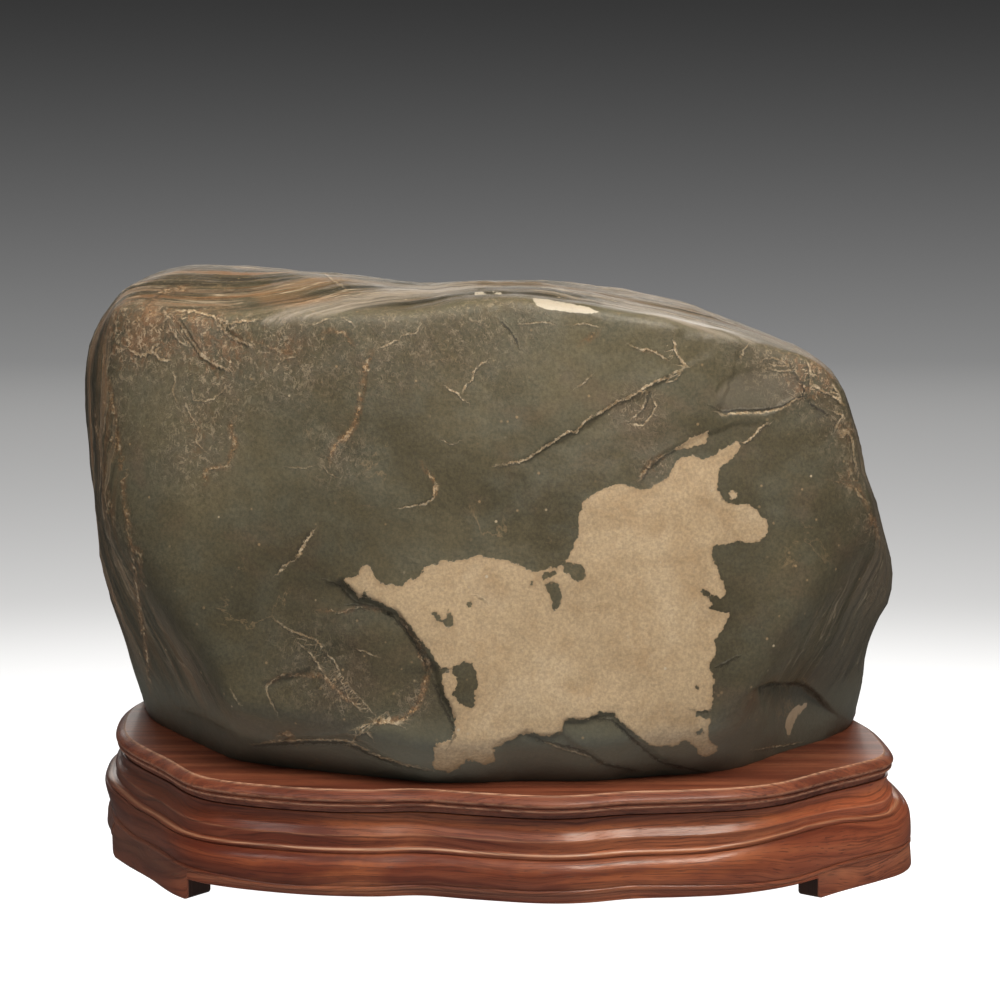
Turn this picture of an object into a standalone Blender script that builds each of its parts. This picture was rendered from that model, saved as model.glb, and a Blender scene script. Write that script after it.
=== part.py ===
"""A water-worn scholar's rock seated on a moulded rosewood stand.

Lengths are in millimetres and become metres when the meshes are made.
X runs along the rock, Y from its front to its back and Z up from the floor.
"""
from math import atan2, cos, degrees, radians, sin

import bmesh
import bpy
import numpy as np
from mathutils import Vector

millimetre = 0.001

# Overall places
origin_shift = (1.7, 10.3, 0.0)       # brings the middle of the whole box over the origin
clearance = 0.35                      # open joint between pieces that touch

# Stand heights
foot_height = 10.5
joint_height = 47.3                   # where the top board meets the body
board_top = 59.0
underside_recess = 12.0               # height of the underside between the feet
apron_thickness = 27.0

# Plan of the ridge of the top board's moulding, anticlockwise from the right-hand end
board_outline = (
    (192, -52), (188.5, -18), (180, 8), (174, 34), (166, 60), (150, 81), (131, 93),
    (104, 101), (72, 105), (42, 104), (12, 108), (-22, 112), (-52, 108), (-84, 106), (-118, 102),
    (-145, 90), (-165, 70), (-185, 43), (-193.5, 18), (-193.5, -12), (-188.5, -34), (-178, -53),
    (-163, -74), (-147, -98), (-128, -110), (-93, -120), (-62, -123), (-38, -121.5), (-12, -127),
    (16, -132), (36, -131.5), (58, -126), (84, -123.5), (112, -119.5), (134, -111), (156, -94),
    (178, -78), (188, -68),
)
outline_steps = 96

side_spread = 1.35                    # mouldings stand out this much more at the two ends
body_drift = 0.085                    # the body leans this much to the right on its way down

# Mouldings: height and how far they stand out from the outline above
board_profile = (
    (joint_height + clearance, -5.0), (48.8, -4.4), (50.4, -2.4), (52.2, -1.5), (53.5, -2.1),
    (54.7, -0.5), (55.8, 0.0), (56.9, -0.9), (57.9, -3.0), (board_top, -4.6),
)
body_profile = (
    (0.0, 5.6), (1.6, 6.7), (14.6, 6.6), (16.2, 6.4), (20.0, 7.3), (24.2, 5.9), (27.6, 2.9),
    (30.4, 0.9), (32.4, 0.8), (34.8, -1.3), (36.4, -1.9), (39.6, -4.3), (joint_height, -5.0),
)

# Spaces between the four feet, as plans of what is cut away
front_gap = ((-151, -170), (151, -170), (143, -72), (143, 55), (150, 150), (-150, 150), (-143, 55), (-143, -72))
side_gap = ((-240, -40), (240, -40), (240, 30), (-240, 30))

# Rock: its outline seen from in front and slightly above, right and up from the aim point
aim_height = 172.0
view_tilt = 11.5
rock_outline = (
    (195, -32), (191, -16), (188, 0), (183, 14), (181, 28), (176, 44), (170, 58), (160, 70),
    (137, 82), (96, 97), (70, 103), (50, 107), (20, 111), (-22, 110.5), (-40, 109.5), (-85, 114),
    (-135, 118), (-160, 117), (-180, 111), (-194, 100), (-207, 80), (-210, 58), (-207, 25),
    (-204, -8), (-201, -35), (-190, -66), (-181, -92), (-173, -116), (-150, -132), (0, -138),
    (140, -132), (170, -120), (180, -98), (184, -74), (190, -59), (194, -50),
)
rock_middle = (-4.0, 0.0, 165.0)
rock_reach_front = 150.0
rock_reach_back = 140.0
outline_roundness = 4.5
edge_sharpness = 44.0
front_taper = 0.15                    # sides draw in toward the front

# Flat faces of the rock: azimuth (0 faces the front, 90 the right), elevation, a point on the face
rock_faces = (
    (1, 10, (0, -119.5, 105)),
    (0, -36, (0, -115, 59)),
    (-33, 7, (-132, -98, 150)),
    (-66, 2, (-197, -45, 170)),
    (-60, -19, (-161, -42, 59)),
    (-20, 74, (-129, -62, 278)),
    (8, 83, (0, -60, 291)),
    (86, 78, (60, -50, 279)),
    (27, 8, (132, -98, 150)),
    (24, 42, (132, -74, 263)),
    (52, -16, (157, -54, 59)),
    (180, 8, (0, 100, 170)),
    (150, 12, (112, 84, 170)),
    (-148, 10, (-120, 88, 170)),
    (180, 50, (-20, 60, 268)),
    (0, -90, (0, 0, 52.5)),
)

# Lumps (positive) and hollows (negative): a place on the rock, its spread and its height
rock_lumps = (
    ((-178, -40, 252), 17, -4.0),
    ((-140, -62, 262), 20, -4.0),
    ((128, -88, 224), 17, -4.0),
    ((60, -112, 228), 20, -3.0),
    ((150, -70, 238), 16, 3.0),
    ((-40, -122, 120), 26, 3.0),
    ((-62, -118, 108), 18, -4.0),
    ((100, -112, 120), 30, 2.5),
    ((20, -112, 72), 14, -2.5),
    ((72, -112, 80), 18, -2.5),
    ((150, -62, 82), 15, -5.0),
    ((186, -20, 205), 16, -3.0),
    ((196, -10, 140), 18, 1.5),
    ((-203, 20, 150), 24, -3.0),
    ((-60, 100, 190), 34, 5.0),
    ((50, 104, 130), 30, -6.0),
    ((110, 88, 200), 26, 4.0),
    ((-130, 84, 120), 26, -5.0),
    ((0, 60, 276), 30, -3.0),
)


def clear_scene():
    for item in list(bpy.data.objects):
        bpy.data.objects.remove(item, do_unlink=True)


def make_collection(name):
    collection = bpy.data.collections.new(name)
    bpy.context.scene.collection.children.link(collection)
    return collection


def make_material(name, colour, roughness):
    material = bpy.data.materials.new(name)
    material.use_nodes = True
    shader = material.node_tree.nodes["Principled BSDF"]
    shader.inputs["Base Color"].default_value = (*colour, 1.0)
    shader.inputs["Roughness"].default_value = roughness
    shader.inputs["Metallic"].default_value = 0.0
    return material


def add_object(name, mesh_data, collection, material=None):
    mesh = bpy.data.meshes.new(name)
    mesh_data.to_mesh(mesh)
    mesh_data.free()
    if material:
        mesh.materials.append(material)
    item = bpy.data.objects.new(name, mesh)
    collection.objects.link(item)
    return item


def cut_away(target, cutter):
    cutter.hide_render = True
    cutter.display_type = "WIRE"
    cut = target.modifiers.new("cut " + cutter.name, "BOOLEAN")
    cut.operation = "DIFFERENCE"
    cut.solver = "EXACT"
    cut.object = cutter


def place(point):
    """A point in millimetres as a Blender position, moved by the origin shift."""
    return Vector([(value + shift) * millimetre for value, shift in zip(point, origin_shift)])


def smooth_outline(points, count):
    """Evenly spaced points on a closed Catmull-Rom curve through the given points."""
    knots = np.array(points, float)
    before, after, beyond = np.roll(knots, 1, 0), np.roll(knots, -1, 0), np.roll(knots, -2, 0)
    t = (np.arange(16) / 16)[None, :, None]
    knots, before, after, beyond = (side[:, None, :] for side in (knots, before, after, beyond))
    curve = 0.5 * (2 * knots + (after - before) * t
                   + (2 * before - 5 * knots + 4 * after - beyond) * t ** 2
                   + (3 * knots - before - 3 * after + beyond) * t ** 3)
    curve = curve.reshape(-1, 2)
    closed = np.vstack([curve, curve[:1]])
    along = np.concatenate([[0], np.cumsum(np.linalg.norm(np.diff(closed, axis=0), axis=1))])
    stations = np.arange(count) / count * along[-1]
    return np.stack([np.interp(stations, along, closed[:, axis]) for axis in (0, 1)], 1)


def outward(outline):
    """Unit normals of an anticlockwise outline."""
    run = np.roll(outline, -1, 0) - np.roll(outline, 1, 0)
    run = run / np.linalg.norm(run, axis=1, keepdims=True)
    return np.stack([run[:, 1], -run[:, 0]], 1)


def moulded_solid(profile):
    """A closed body whose section follows the outline, one ring for each profile point."""
    outline = smooth_outline(board_outline, outline_steps)
    normals = outward(outline)
    body = bmesh.new()
    rings = []
    for height, standout in profile:
        spread = (side_spread if standout > 0 else 1.0, 1.0)
        drift = (max(0.0, joint_height - height) * body_drift, 0.0)
        ring = outline + normals * standout * spread + drift
        rings.append([body.verts.new(place((x, y, height))) for x, y in ring])
    for lower, upper in zip(rings, rings[1:]):
        for step in range(outline_steps):
            following = (step + 1) % outline_steps
            body.faces.new((lower[step], lower[following], upper[following], upper[step]))
    body.faces.new(rings[0][::-1])
    body.faces.new(rings[-1])
    return body


def prism(plan, bottom, top):
    """An upright prism on an anticlockwise plan."""
    body = bmesh.new()
    base = body.faces.new([body.verts.new(place((x, y, bottom))) for x, y in plan])
    raised = bmesh.ops.extrude_face_region(body, geom=[base])["geom"]
    corners = [item for item in raised if isinstance(item, bmesh.types.BMVert)]
    bmesh.ops.translate(body, verts=corners, vec=Vector((0, 0, (top - bottom) * millimetre)))
    bmesh.ops.recalc_face_normals(body, faces=body.faces)
    return body


def unit_normal(azimuth, elevation):
    across, up = radians(azimuth), radians(elevation)
    return np.array([sin(across) * cos(up), -cos(across) * cos(up), sin(up)])


def tilted_axes():
    """Right, up and away for the tilted plane that the rock's outline is drawn in."""
    tilt = radians(view_tilt)
    return np.array([1, 0, 0]), np.array([0, sin(tilt), cos(tilt)]), np.array([0, cos(tilt), -sin(tilt)])


def outline_reach(angle):
    """Distance from the rock's middle to its outline at an angle in degrees."""
    right, up, _ = tilted_axes()
    offset = np.array(rock_middle) - np.array([0, 0, aim_height])
    points = smooth_outline(np.array(rock_outline) - [offset @ right, offset @ up], 720)
    bearing = np.degrees(np.arctan2(points[:, 1], points[:, 0])) % 360
    order = np.argsort(bearing)
    reach = np.linalg.norm(points, axis=1)
    return np.interp(angle % 360, bearing[order], reach[order], period=360)


def rock_surface(directions):
    """Points where rays from the rock's middle meet its surface.

    The body is a rounded prism on the tilted outline, cut by flat faces whose edges are
    blended by a high power mean, and then raised or hollowed by bell-shaped lumps.
    """
    right, up, away = tilted_axes()
    across, rise, depth = directions @ right, directions @ up, directions @ away
    reach = outline_reach(np.degrees(np.arctan2(rise, across)))
    rim = np.hypot(across, rise) / reach * (1 - front_taper * depth)
    deep = np.where(depth < 0, -depth / rock_reach_front, depth / rock_reach_back)
    nearness = (rim ** outline_roundness + deep ** outline_roundness) ** (edge_sharpness / outline_roundness)
    middle = np.array(rock_middle)
    for azimuth, elevation, point in rock_faces:
        normal = unit_normal(azimuth, elevation)
        distance = normal @ (np.array(point) - middle)
        nearness = nearness + np.maximum(0, directions @ normal / distance) ** edge_sharpness
    radius = nearness ** (-1 / edge_sharpness)
    points = middle + directions * radius[:, None]
    for centre, spread, height in rock_lumps:
        apart = np.sum((points - np.array(centre)) ** 2, axis=1)
        radius = radius + height * np.exp(-apart / (2 * spread ** 2))
    return middle + directions * radius[:, None]


def rock_body(swell=0.0):
    """The rock as an icosphere pushed out to its surface, grown along its normals by swell."""
    body = bmesh.new()
    bmesh.ops.create_icosphere(body, subdivisions=5, radius=1.0)
    directions = np.array([vertex.co for vertex in body.verts])
    points = rock_surface(directions)
    for vertex, point in zip(body.verts, points):
        vertex.co = place(point)
    if swell:
        body.normal_update()
        for vertex, normal in [(vertex, vertex.normal.copy()) for vertex in body.verts]:
            vertex.co += normal * swell * millimetre
    return body


def build_rock(parts):
    stone = make_material("olive grey stone", (0.075, 0.068, 0.048), 0.42)
    rock = add_object("rock", rock_body(), parts, stone)
    rock.data.shade_smooth()


def build_stand_top(parts, cutters):
    board_wood = make_material("rosewood board", (0.165, 0.040, 0.018), 0.30)
    board = add_object("stand_top", moulded_solid(board_profile), parts, board_wood)
    seat = add_object("seat cutter", rock_body(clearance), cutters)
    cut_away(board, seat)


def build_stand_base(parts, cutters):
    body_wood = make_material("rosewood body", (0.200, 0.052, 0.022), 0.28)
    base = add_object("stand_base", moulded_solid(body_profile), parts, body_wood)
    outline = smooth_outline(board_outline, outline_steps // 2)
    hollow_plan = outline - outward(outline) * (apron_thickness - body_profile[1][1])
    below = -20.0
    plans = (
        ("hollow cutter", hollow_plan, underside_recess),
        ("front gap cutter", front_gap, foot_height),
        ("side gap cutter", side_gap, foot_height),
    )
    for name, plan, top in plans:
        cut_away(base, add_object(name, prism(plan, below, top), cutters))


def main():
    clear_scene()
    parts = make_collection("scholars rock")
    cutters = make_collection("cutters")
    build_rock(parts)
    build_stand_top(parts, cutters)
    build_stand_base(parts, cutters)


main()
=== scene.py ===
from math import cos, radians, sin

import bpy
import numpy as np
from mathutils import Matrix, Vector


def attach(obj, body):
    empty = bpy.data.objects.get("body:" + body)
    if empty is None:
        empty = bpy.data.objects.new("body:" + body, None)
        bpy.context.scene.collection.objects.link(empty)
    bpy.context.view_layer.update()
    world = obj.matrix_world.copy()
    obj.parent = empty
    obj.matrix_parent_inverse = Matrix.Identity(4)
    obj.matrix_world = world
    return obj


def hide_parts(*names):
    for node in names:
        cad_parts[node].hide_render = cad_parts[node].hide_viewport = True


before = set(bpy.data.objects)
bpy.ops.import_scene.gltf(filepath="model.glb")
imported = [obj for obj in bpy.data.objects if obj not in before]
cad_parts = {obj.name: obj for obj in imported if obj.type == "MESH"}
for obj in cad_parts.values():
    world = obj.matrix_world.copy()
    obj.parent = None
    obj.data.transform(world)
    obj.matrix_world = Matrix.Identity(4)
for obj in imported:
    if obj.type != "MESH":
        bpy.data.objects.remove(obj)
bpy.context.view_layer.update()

millimetre = 0.001
originShift = np.array([1.7, 10.3, 0.0])   # the drawing's origin, seen from the middle of the box

# the front view: 1000 steps each way, half a millimetre a step, its middle at the aim point
view = {
    "aim": np.array([0.0, 0.0, 172.0]),
    "distance": 1300.0,
    "tilt": 11.5,
    "step": 0.5,
    "middle": 500.0,
    "sensor": 36.0,          # width of the camera's sensor
    "farthest": 50.0,        # metres
}


# shared tools
def tiltedAxes():
    # right, up and away for a plane that leans back by the view's tilt
    tilt = radians(view["tilt"])
    return np.array([1.0, 0, 0]), np.array([0, sin(tilt), cos(tilt)]), np.array([0, cos(tilt), -sin(tilt)])


def frontView(points):
    # where points appear in the front view: their offsets over their depth, in view steps
    right, up, away = tiltedAxes()
    offset = points - (view["aim"] - away * view["distance"])
    scale = view["distance"] / view["step"] / (offset @ away)
    return view["middle"] + (offset @ right) * scale, view["middle"] - (offset @ up) * scale


def smoothStep(low, high, value):
    t = np.clip((value - low) / (high - low), 0, 1)
    return t * t * (3 - 2 * t)


def latticeNoise(points, size, seed):
    # random values on a cubic lattice of the given size, blended with a quintic ease, -1 to 1
    generator = np.random.RandomState(seed)
    order = generator.permutation(256)
    values = generator.uniform(-1, 1, 256)
    scaled = points / size
    cell = np.floor(scaled).astype(int)
    part = scaled - cell
    part = part ** 3 * (part * (part * 6 - 15) + 10)
    total = np.zeros(len(points))
    for corner in np.ndindex(2, 2, 2):
        spot = (cell + corner) & 255
        value = values[order[(order[(order[spot[:, 0]] + spot[:, 1]) & 255] + spot[:, 2]) & 255]]
        weight = np.prod(np.where(corner, part, 1 - part), axis=1)
        total += weight * value
    return total


def layeredNoise(points, size, layers, seed):
    # a sum of lattice noises, each half the size and half the height of the last
    total = np.zeros(len(points))
    for layer in range(layers):
        total += latticeNoise(points + layer * 37.1, size / 2 ** layer, seed + layer) / 2 ** layer
    return total


def smoothOutline(points, count, steps=16):
    # evenly spaced points on a closed Catmull-Rom curve
    knots = np.array(points, float)
    before, after, beyond = np.roll(knots, 1, 0), np.roll(knots, -1, 0), np.roll(knots, -2, 0)
    t = (np.arange(steps) / steps)[None, :, None]
    knots, before, after, beyond = (side[:, None, :] for side in (knots, before, after, beyond))
    curve = 0.5 * (2 * knots + (after - before) * t
                   + (2 * before - 5 * knots + 4 * after - beyond) * t ** 2
                   + (3 * knots - before - 3 * after + beyond) * t ** 3)
    curve = curve.reshape(-1, 2)
    closed = np.vstack([curve, curve[:1]])
    along = np.concatenate([[0], np.cumsum(np.linalg.norm(np.diff(closed, axis=0), axis=1))])
    shares = np.arange(count) / count
    return np.stack([np.interp(shares * along[-1], along, closed[:, axis]) for axis in (0, 1)], 1)


def lineDistance(x, y, points):
    # distance to an open line, the side a point lies on (+1 below a line that runs right),
    # and how far along the line the nearest place is, from 0 to 1
    line = np.array(points, float)
    runs = np.diff(line, axis=0)
    lengths = np.linalg.norm(runs, axis=1)
    starts = np.concatenate([[0], np.cumsum(lengths)])
    best = np.full(x.shape, 1e9)
    side = np.ones(x.shape)
    along = np.zeros(x.shape)
    for start, run, length, begun in zip(line, runs, lengths, starts):
        dx, dy = x - start[0], y - start[1]
        t = np.clip((dx * run[0] + dy * run[1]) / length ** 2, 0, 1)
        gap = np.hypot(dx - t * run[0], dy - t * run[1])
        nearer = gap < best
        best = np.where(nearer, gap, best)
        side = np.where(nearer, np.sign(run[0] * dy - run[1] * dx + 1e-9), side)
        along = np.where(nearer, (begun + t * length) / starts[-1], along)
    return best, side, along


def outlineDistance(x, y, points):
    # distance to a closed outline in view steps, positive inside it
    line = np.array(points, float)
    after = np.roll(line, -1, 0)
    best = np.full(x.shape, 1e9)
    inside = np.zeros(x.shape, bool)
    for (ax, ay), (bx, by) in zip(line, after):
        runX, runY = bx - ax, by - ay
        t = np.clip(((x - ax) * runX + (y - ay) * runY) / (runX ** 2 + runY ** 2), 0, 1)
        best = np.minimum(best, np.hypot(x - ax - t * runX, y - ay - t * runY))
        crosses = (ay > y) != (by > y)
        inside ^= crosses & (x < ax + (y - ay) * runX / (runY if runY else 1e-9))
    return np.where(inside, best, -best)


def gridMesh(name, points, rows, columns, marks, material, sharpAngle=None, grain=None):
    # a closed surface: rows x columns points, wrapped round its columns, with a pole at each end;
    # grain holds where each column starts and ends along the grain, and where each row lies across it
    first, last = 0, len(points) - 1
    index = 1 + np.arange(rows * columns).reshape(rows, columns)
    following = np.roll(index, -1, 1)
    quads = np.stack([index[:-1], following[:-1], following[1:], index[1:]], -1).reshape(-1, 4)
    capA = np.stack([np.full(columns, first), following[0], index[0]], -1)
    capB = np.stack([np.full(columns, last), index[-1], following[-1]], -1)
    corners = np.concatenate([quads.ravel(), capA.ravel(), capB.ravel()])
    sizes = np.concatenate([np.full(len(quads), 4), np.full(2 * columns, 3)])
    mesh = bpy.data.meshes.new(name)
    mesh.vertices.add(len(points))
    mesh.vertices.foreach_set("co", ((points + originShift) * millimetre).ravel())
    mesh.loops.add(len(corners))
    mesh.loops.foreach_set("vertex_index", corners.astype(np.int32))
    mesh.polygons.add(len(sizes))
    mesh.polygons.foreach_set("loop_start", np.concatenate([[0], np.cumsum(sizes)[:-1]]).astype(np.int32))
    mesh.update(calc_edges=True)
    mesh.shade_smooth()
    if sharpAngle:
        mesh.set_sharp_from_angle(angle=radians(sharpAngle))
    for key, values in marks.items():
        layer = mesh.attributes.new(key, "FLOAT", "POINT")
        layer.data.foreach_set("value", np.asarray(values, np.float32))
    if grain:
        start, end, across = grain
        lower, upper = across[:-1, None], across[1:, None]
        ones = np.ones(columns)
        along = np.tile(np.stack([start, end, end, start], -1), (rows - 1, 1, 1))
        height = np.stack([lower * ones, lower * ones, upper * ones, upper * ones], -1)
        capAlong = [np.stack([start, end, start], -1), np.stack([start, start, end], -1)]
        capHeight = [np.full(3 * columns, across[0]), np.full(3 * columns, across[-1])]
        layer = mesh.uv_layers.new(name="grain")
        u = np.concatenate([along.ravel(), capAlong[0].ravel(), capAlong[1].ravel()])
        v = np.concatenate([height.ravel(), *capHeight])
        layer.data.foreach_set("uv", np.stack([u, v], -1).astype(np.float32).ravel())
    mesh.materials.append(material)
    piece = bpy.data.objects.new(name, mesh)
    bpy.context.scene.collection.objects.link(piece)
    return piece


# the rock's form
rock = {
    "middle": np.array([-4.0, 0.0, 165.0]),
    "reachFront": 150.0,
    "reachBack": 140.0,
    "outlineRoundness": 4.5,
    "edgeSharpness": 64.0,
    "frontTaper": 0.15,
    "outline": (
        (195, -32), (191, -16), (188, 0), (183, 14), (181, 28), (176, 44), (170, 58), (160, 70),
        (137, 82), (96, 97), (70, 103), (50, 107), (20, 111), (-22, 110.5), (-40, 109.5), (-85, 114),
        (-135, 118), (-160, 117), (-180, 110), (-193, 99), (-204, 80), (-207.5, 57), (-205.5, 25),
        (-204, -8), (-201, -35), (-190, -66), (-181, -92), (-173, -116), (-150, -138), (0, -154),
        (140, -138), (170, -120), (180, -98), (184, -74), (190, -59), (194, -50),
    ),
    # azimuth (0 faces the front, 90 the right), elevation, a point on the face
    "faces": (
        (1, 10, (0, -119.5, 105)),
        (0, -36, (0, -108, 59)),
        (-20, -34, (-70, -97, 59)),
        (16, -34, (85, -97.5, 59)),
        (-16, 9, (-78, -114.5, 105)),
        (14, 9, (72, -116, 105)),
        (-33, 7, (-132, -98, 150)),
        (-66, 2, (-197, -45, 170)),
        (-56, -19, (-148, -46, 59)),
        (-20, 74, (-129, -62, 277.4)),
        (8, 83, (0, -60, 289.6)),
        (86, 78, (60, -50, 279)),
        (27, 8, (132, -98, 150)),
        (24, 42, (132, -74, 263)),
        (46, -17, (130, -69, 59)),
        (180, 8, (0, 100, 170)),
        (150, 12, (112, 84, 170)),
        (-148, 10, (-120, 88, 170)),
        (180, 50, (-20, 60, 268)),
        (0, -90, (0, 0, 52.5)),
    ),
    "frontFaces": (0, 4, 5, 6, 12, 13),     # those of the faces that end at one layer of the stone
    # lumps (positive) and hollows (negative): a place, its spread and its height
    "lumps": (
        ((-178, -40, 252), 17, -4.0),
        ((-140, -62, 262), 20, -4.0),
        ((128, -88, 224), 17, -4.0),
        ((60, -112, 228), 20, -3.0),
        ((150, -70, 238), 16, 3.0),
        ((-40, -122, 120), 26, 3.0),
        ((-62, -118, 108), 18, -4.0),
        ((100, -112, 120), 30, 2.5),
        ((20, -112, 72), 14, -2.5),
        ((72, -112, 80), 18, -2.5),
        ((150, -62, 82), 15, -5.0),
        ((186, -20, 205), 16, -3.0),
        ((196, -10, 140), 18, 1.5),
        ((-203, 20, 150), 24, -3.0),
        ((-207, -5, 214), 20, 0.7),
        ((-60, 100, 190), 34, 5.0),
        ((50, 104, 130), 30, -6.0),
        ((110, 88, 200), 26, 4.0),
        ((-130, 84, 120), 26, -5.0),
        ((0, 60, 276), 30, -3.0),
    ),
    # the box whose sides aim the grid's rays, and how many rays each side takes
    "halfLength": 188.0,
    "box": {"front": -112.0, "top": 112.0, "back": 100.0, "bottom": -104.0},
    "raysUp": 132,
    "raysOver": 74,
    "raysDown": 62,
    "raysUnder": 38,
    "rows": 296,
    "endRows": 14,
    "poleReach": 108.0,
}

# ledges in the front view: side, depth, reach and line. One side of the line drops by the depth,
# which fades over the reach, and side 1 drops what lies below a line that runs right
ledges = (
    # hollow beside the patch
    (1, 3.6, 60, ((318, 582), (340, 584), (356, 598), (375, 602), (398, 615), (412, 632), (424, 650),
                  (434, 668), (442, 690), (449, 706), (455, 722), (450, 748))),
    # hollow's lower rim
    (1, 1.8, 40, ((425, 668), (424, 690), (417, 706), (407, 718), (390, 724), (365, 724), (345, 734))),
    # scoops under the patch
    (1, 2.6, 30, ((485, 752), (497, 744), (512, 741), (524, 734), (542, 737), (560, 735), (564, 722),
                  (586, 720), (600, 713), (613, 714), (623, 724), (636, 735), (650, 748), (664, 760),
                  (690, 764))),
    # scoop at the foot
    (1, 1.6, 24, ((560, 735), (576, 746), (590, 752), (604, 764), (640, 770))),
    # slanting crack
    (1, 1.7, 50, ((505, 463), (520, 461), (536, 455), (550, 444), (562, 436), (578, 431), (600, 413),
                  (622, 399), (642, 394), (664, 379), (686, 367))),
    # crack's upturned end
    (1, 1.0, 26, ((687, 368), (680, 356), (672, 334))),
    # flake scar, foot
    (-1, 1.8, 40, ((712, 405), (722, 413), (740, 411), (762, 412), (780, 408), (791, 401), (804, 399))),
    # flake scar, top
    (1, 0.7, 14, ((714, 400), (717, 388), (724, 379), (736, 372), (752, 368), (790, 370), (803, 378))),
    # notch at the lower right
    (1, 5.0, 17, ((756, 687), (775, 683), (801, 683), (813, 690), (826, 706), (838, 716))),
    # split at the upper left corner
    (1, 1.3, 22, ((166, 303), (176, 318), (188, 338), (202, 356), (228, 373))),
    # brow at the upper left corner
    (1, 1.7, 24, ((174, 309), (204, 313), (222, 322), (236, 336), (252, 347))),
    # brown split
    (1, 1.1, 24, ((384, 328), (368, 350), (364, 372), (362, 400), (358, 422), (345, 435), (331, 448))),
    # outer layer, left end
    (1, 2.0, 18, ((106, 360), (113, 410), (120, 452), (127, 500), (134, 548), (140, 596), (144, 640),
                  (150, 690))),
    # hollow of the left shoulder
    (1, 2.6, 16, ((128, 346), (128, 330), (136, 318), (150, 310), (164, 308))),
    # ledge over the slab
    (1, 1.3, 12, ((258, 692), (262, 684), (280, 676), (304, 674), (318, 678))),
    # inner layer, left end
    (1, 1.3, 14, ((94, 380), (98, 430), (101, 480), (108, 540), (116, 590))),
    # foot ledge, left
    (1, 2.8, 34, ((160, 708), (200, 716), (238, 738), (262, 742), (345, 739), (372, 750), (402, 764),
                  (440, 772))),
    # ledge over the patch
    (1, 1.2, 18, ((636, 482), (646, 466), (662, 453), (690, 440), (712, 429), (738, 424), (770, 420))),
    # low swell, left
    (1, 1.2, 30, ((262, 690), (276, 676), (300, 672), (326, 654), (330, 640))),
    # flake, upper middle
    (-1, 0.9, 16, ((500, 314), (508, 324), (513, 340), (519, 346))),
    # crust edge, upper middle
    (1, 1.0, 20, ((628, 346), (646, 351), (658, 354), (670, 366))),
)

# the pale patch and the dark islands in it, as outlines in the front view
patchOutline = (
    (342, 578), (359, 577), (360, 569), (366, 565), (373, 569), (375, 577), (379, 584), (387, 584),
    (401, 587), (410, 580), (420, 577), (424, 567), (437, 564), (441, 560), (454, 561), (468, 559),
    (475, 556), (483, 556), (493, 559), (508, 561), (521, 566), (531, 571), (538, 572), (552, 567),
    (563, 565), (568, 557), (573, 548), (579, 536), (579, 515), (583, 503), (590, 496), (600, 490),
    (612, 485), (622, 484), (632, 487), (640, 490), (650, 488), (660, 483), (668, 478), (672, 470),
    (675, 462), (683, 457), (692, 456), (700, 459), (708, 458), (716, 455), (720, 450), (730, 445),
    (738, 441), (740, 446), (735, 455), (728, 462), (720, 468), (718, 480), (718, 490), (722, 498),
    (728, 503), (735, 505), (745, 504), (755, 508), (760, 515), (768, 520), (767, 536), (758, 542),
    (746, 543), (736, 541), (727, 544), (712, 546), (711, 557), (717, 567), (719, 577), (725, 585),
    (726, 593), (721, 599), (713, 595), (703, 588), (700, 592), (707, 597), (713, 603), (708, 609),
    (729, 613), (727, 621), (721, 632), (715, 640), (716, 654), (708, 664), (712, 672), (714, 682),
    (713, 698), (710, 710), (695, 711), (694, 715), (710, 719), (708, 733), (711, 743), (718, 746),
    (717, 752), (711, 755), (703, 757), (699, 755), (697, 749), (691, 743), (683, 740), (679, 745),
    (657, 747), (645, 742), (632, 731), (620, 721), (613, 713), (598, 712), (586, 720), (571, 718),
    (564, 722), (562, 731), (548, 736), (533, 733), (521, 734), (510, 741), (493, 748), (495, 760),
    (489, 765), (481, 763), (468, 758), (462, 765), (452, 772), (441, 771), (432, 767), (435, 758),
    (433, 749), (437, 744), (452, 739), (455, 730), (455, 720), (452, 709), (445, 695), (441, 678),
    (439, 665), (428, 649), (416, 634), (407, 622), (395, 611), (382, 603), (370, 598), (359, 599),
    (353, 590),
)
patchOutliers = (
    ((675, 450), (680, 445), (690, 438), (708, 431), (708, 438), (702, 445), (690, 448)),
    ((728, 494), (732, 491), (737, 493), (737, 499), (731, 501)),
)
patchIslands = (
    ((439, 666), (452, 669), (460, 664), (466, 661), (472, 664), (477, 676), (478, 684), (474, 694),
     (476, 706), (467, 709), (459, 703), (452, 695), (457, 687), (457, 676), (450, 672), (443, 674)),
    ((430, 612), (436, 612), (445, 620), (448, 609), (452, 612), (454, 622), (452, 629), (439, 622)),
    ((464, 603), (471, 601), (474, 605), (468, 607)),
    ((544, 583), (558, 582), (562, 596), (558, 608), (553, 611), (551, 598)),
    ((529, 583), (534, 581), (535, 586), (530, 587)),
    ((564, 562), (584, 566), (586, 577), (579, 583), (570, 576), (562, 570)),
    ((537, 577), (548, 572), (557, 570), (556, 575), (544, 579)),
    ((361, 594), (365, 592), (367, 598), (362, 599)),
    ((695, 730), (703, 729), (703, 735), (696, 735)),
    ((695, 685), (699, 685), (699, 689), (695, 689)),
)
paleChipsAndLitFacet = (
    ((532, 298), (545, 299), (588, 307), (605, 315), (576, 313), (545, 309), (536, 305)),
    ((473, 292), (485, 292), (487, 294), (475, 295)),
    ((492, 291), (502, 293), (503, 295), (494, 294)),
    # the crescent facet in the notch at the lower right: a painted highlight where light falls on it
    ((786, 734), (785, 722), (790, 711), (800, 704), (813, 702), (804, 709), (795, 720), (790, 736)),
)

# the smooth scar that a flake left at the upper right
flakeScar = (
    (714, 405), (716, 393), (722, 383), (733, 375), (747, 370), (766, 369), (786, 371), (795, 377),
    (802, 384), (803, 393), (795, 400), (780, 408), (765, 411), (733, 411), (724, 412),
)
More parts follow.
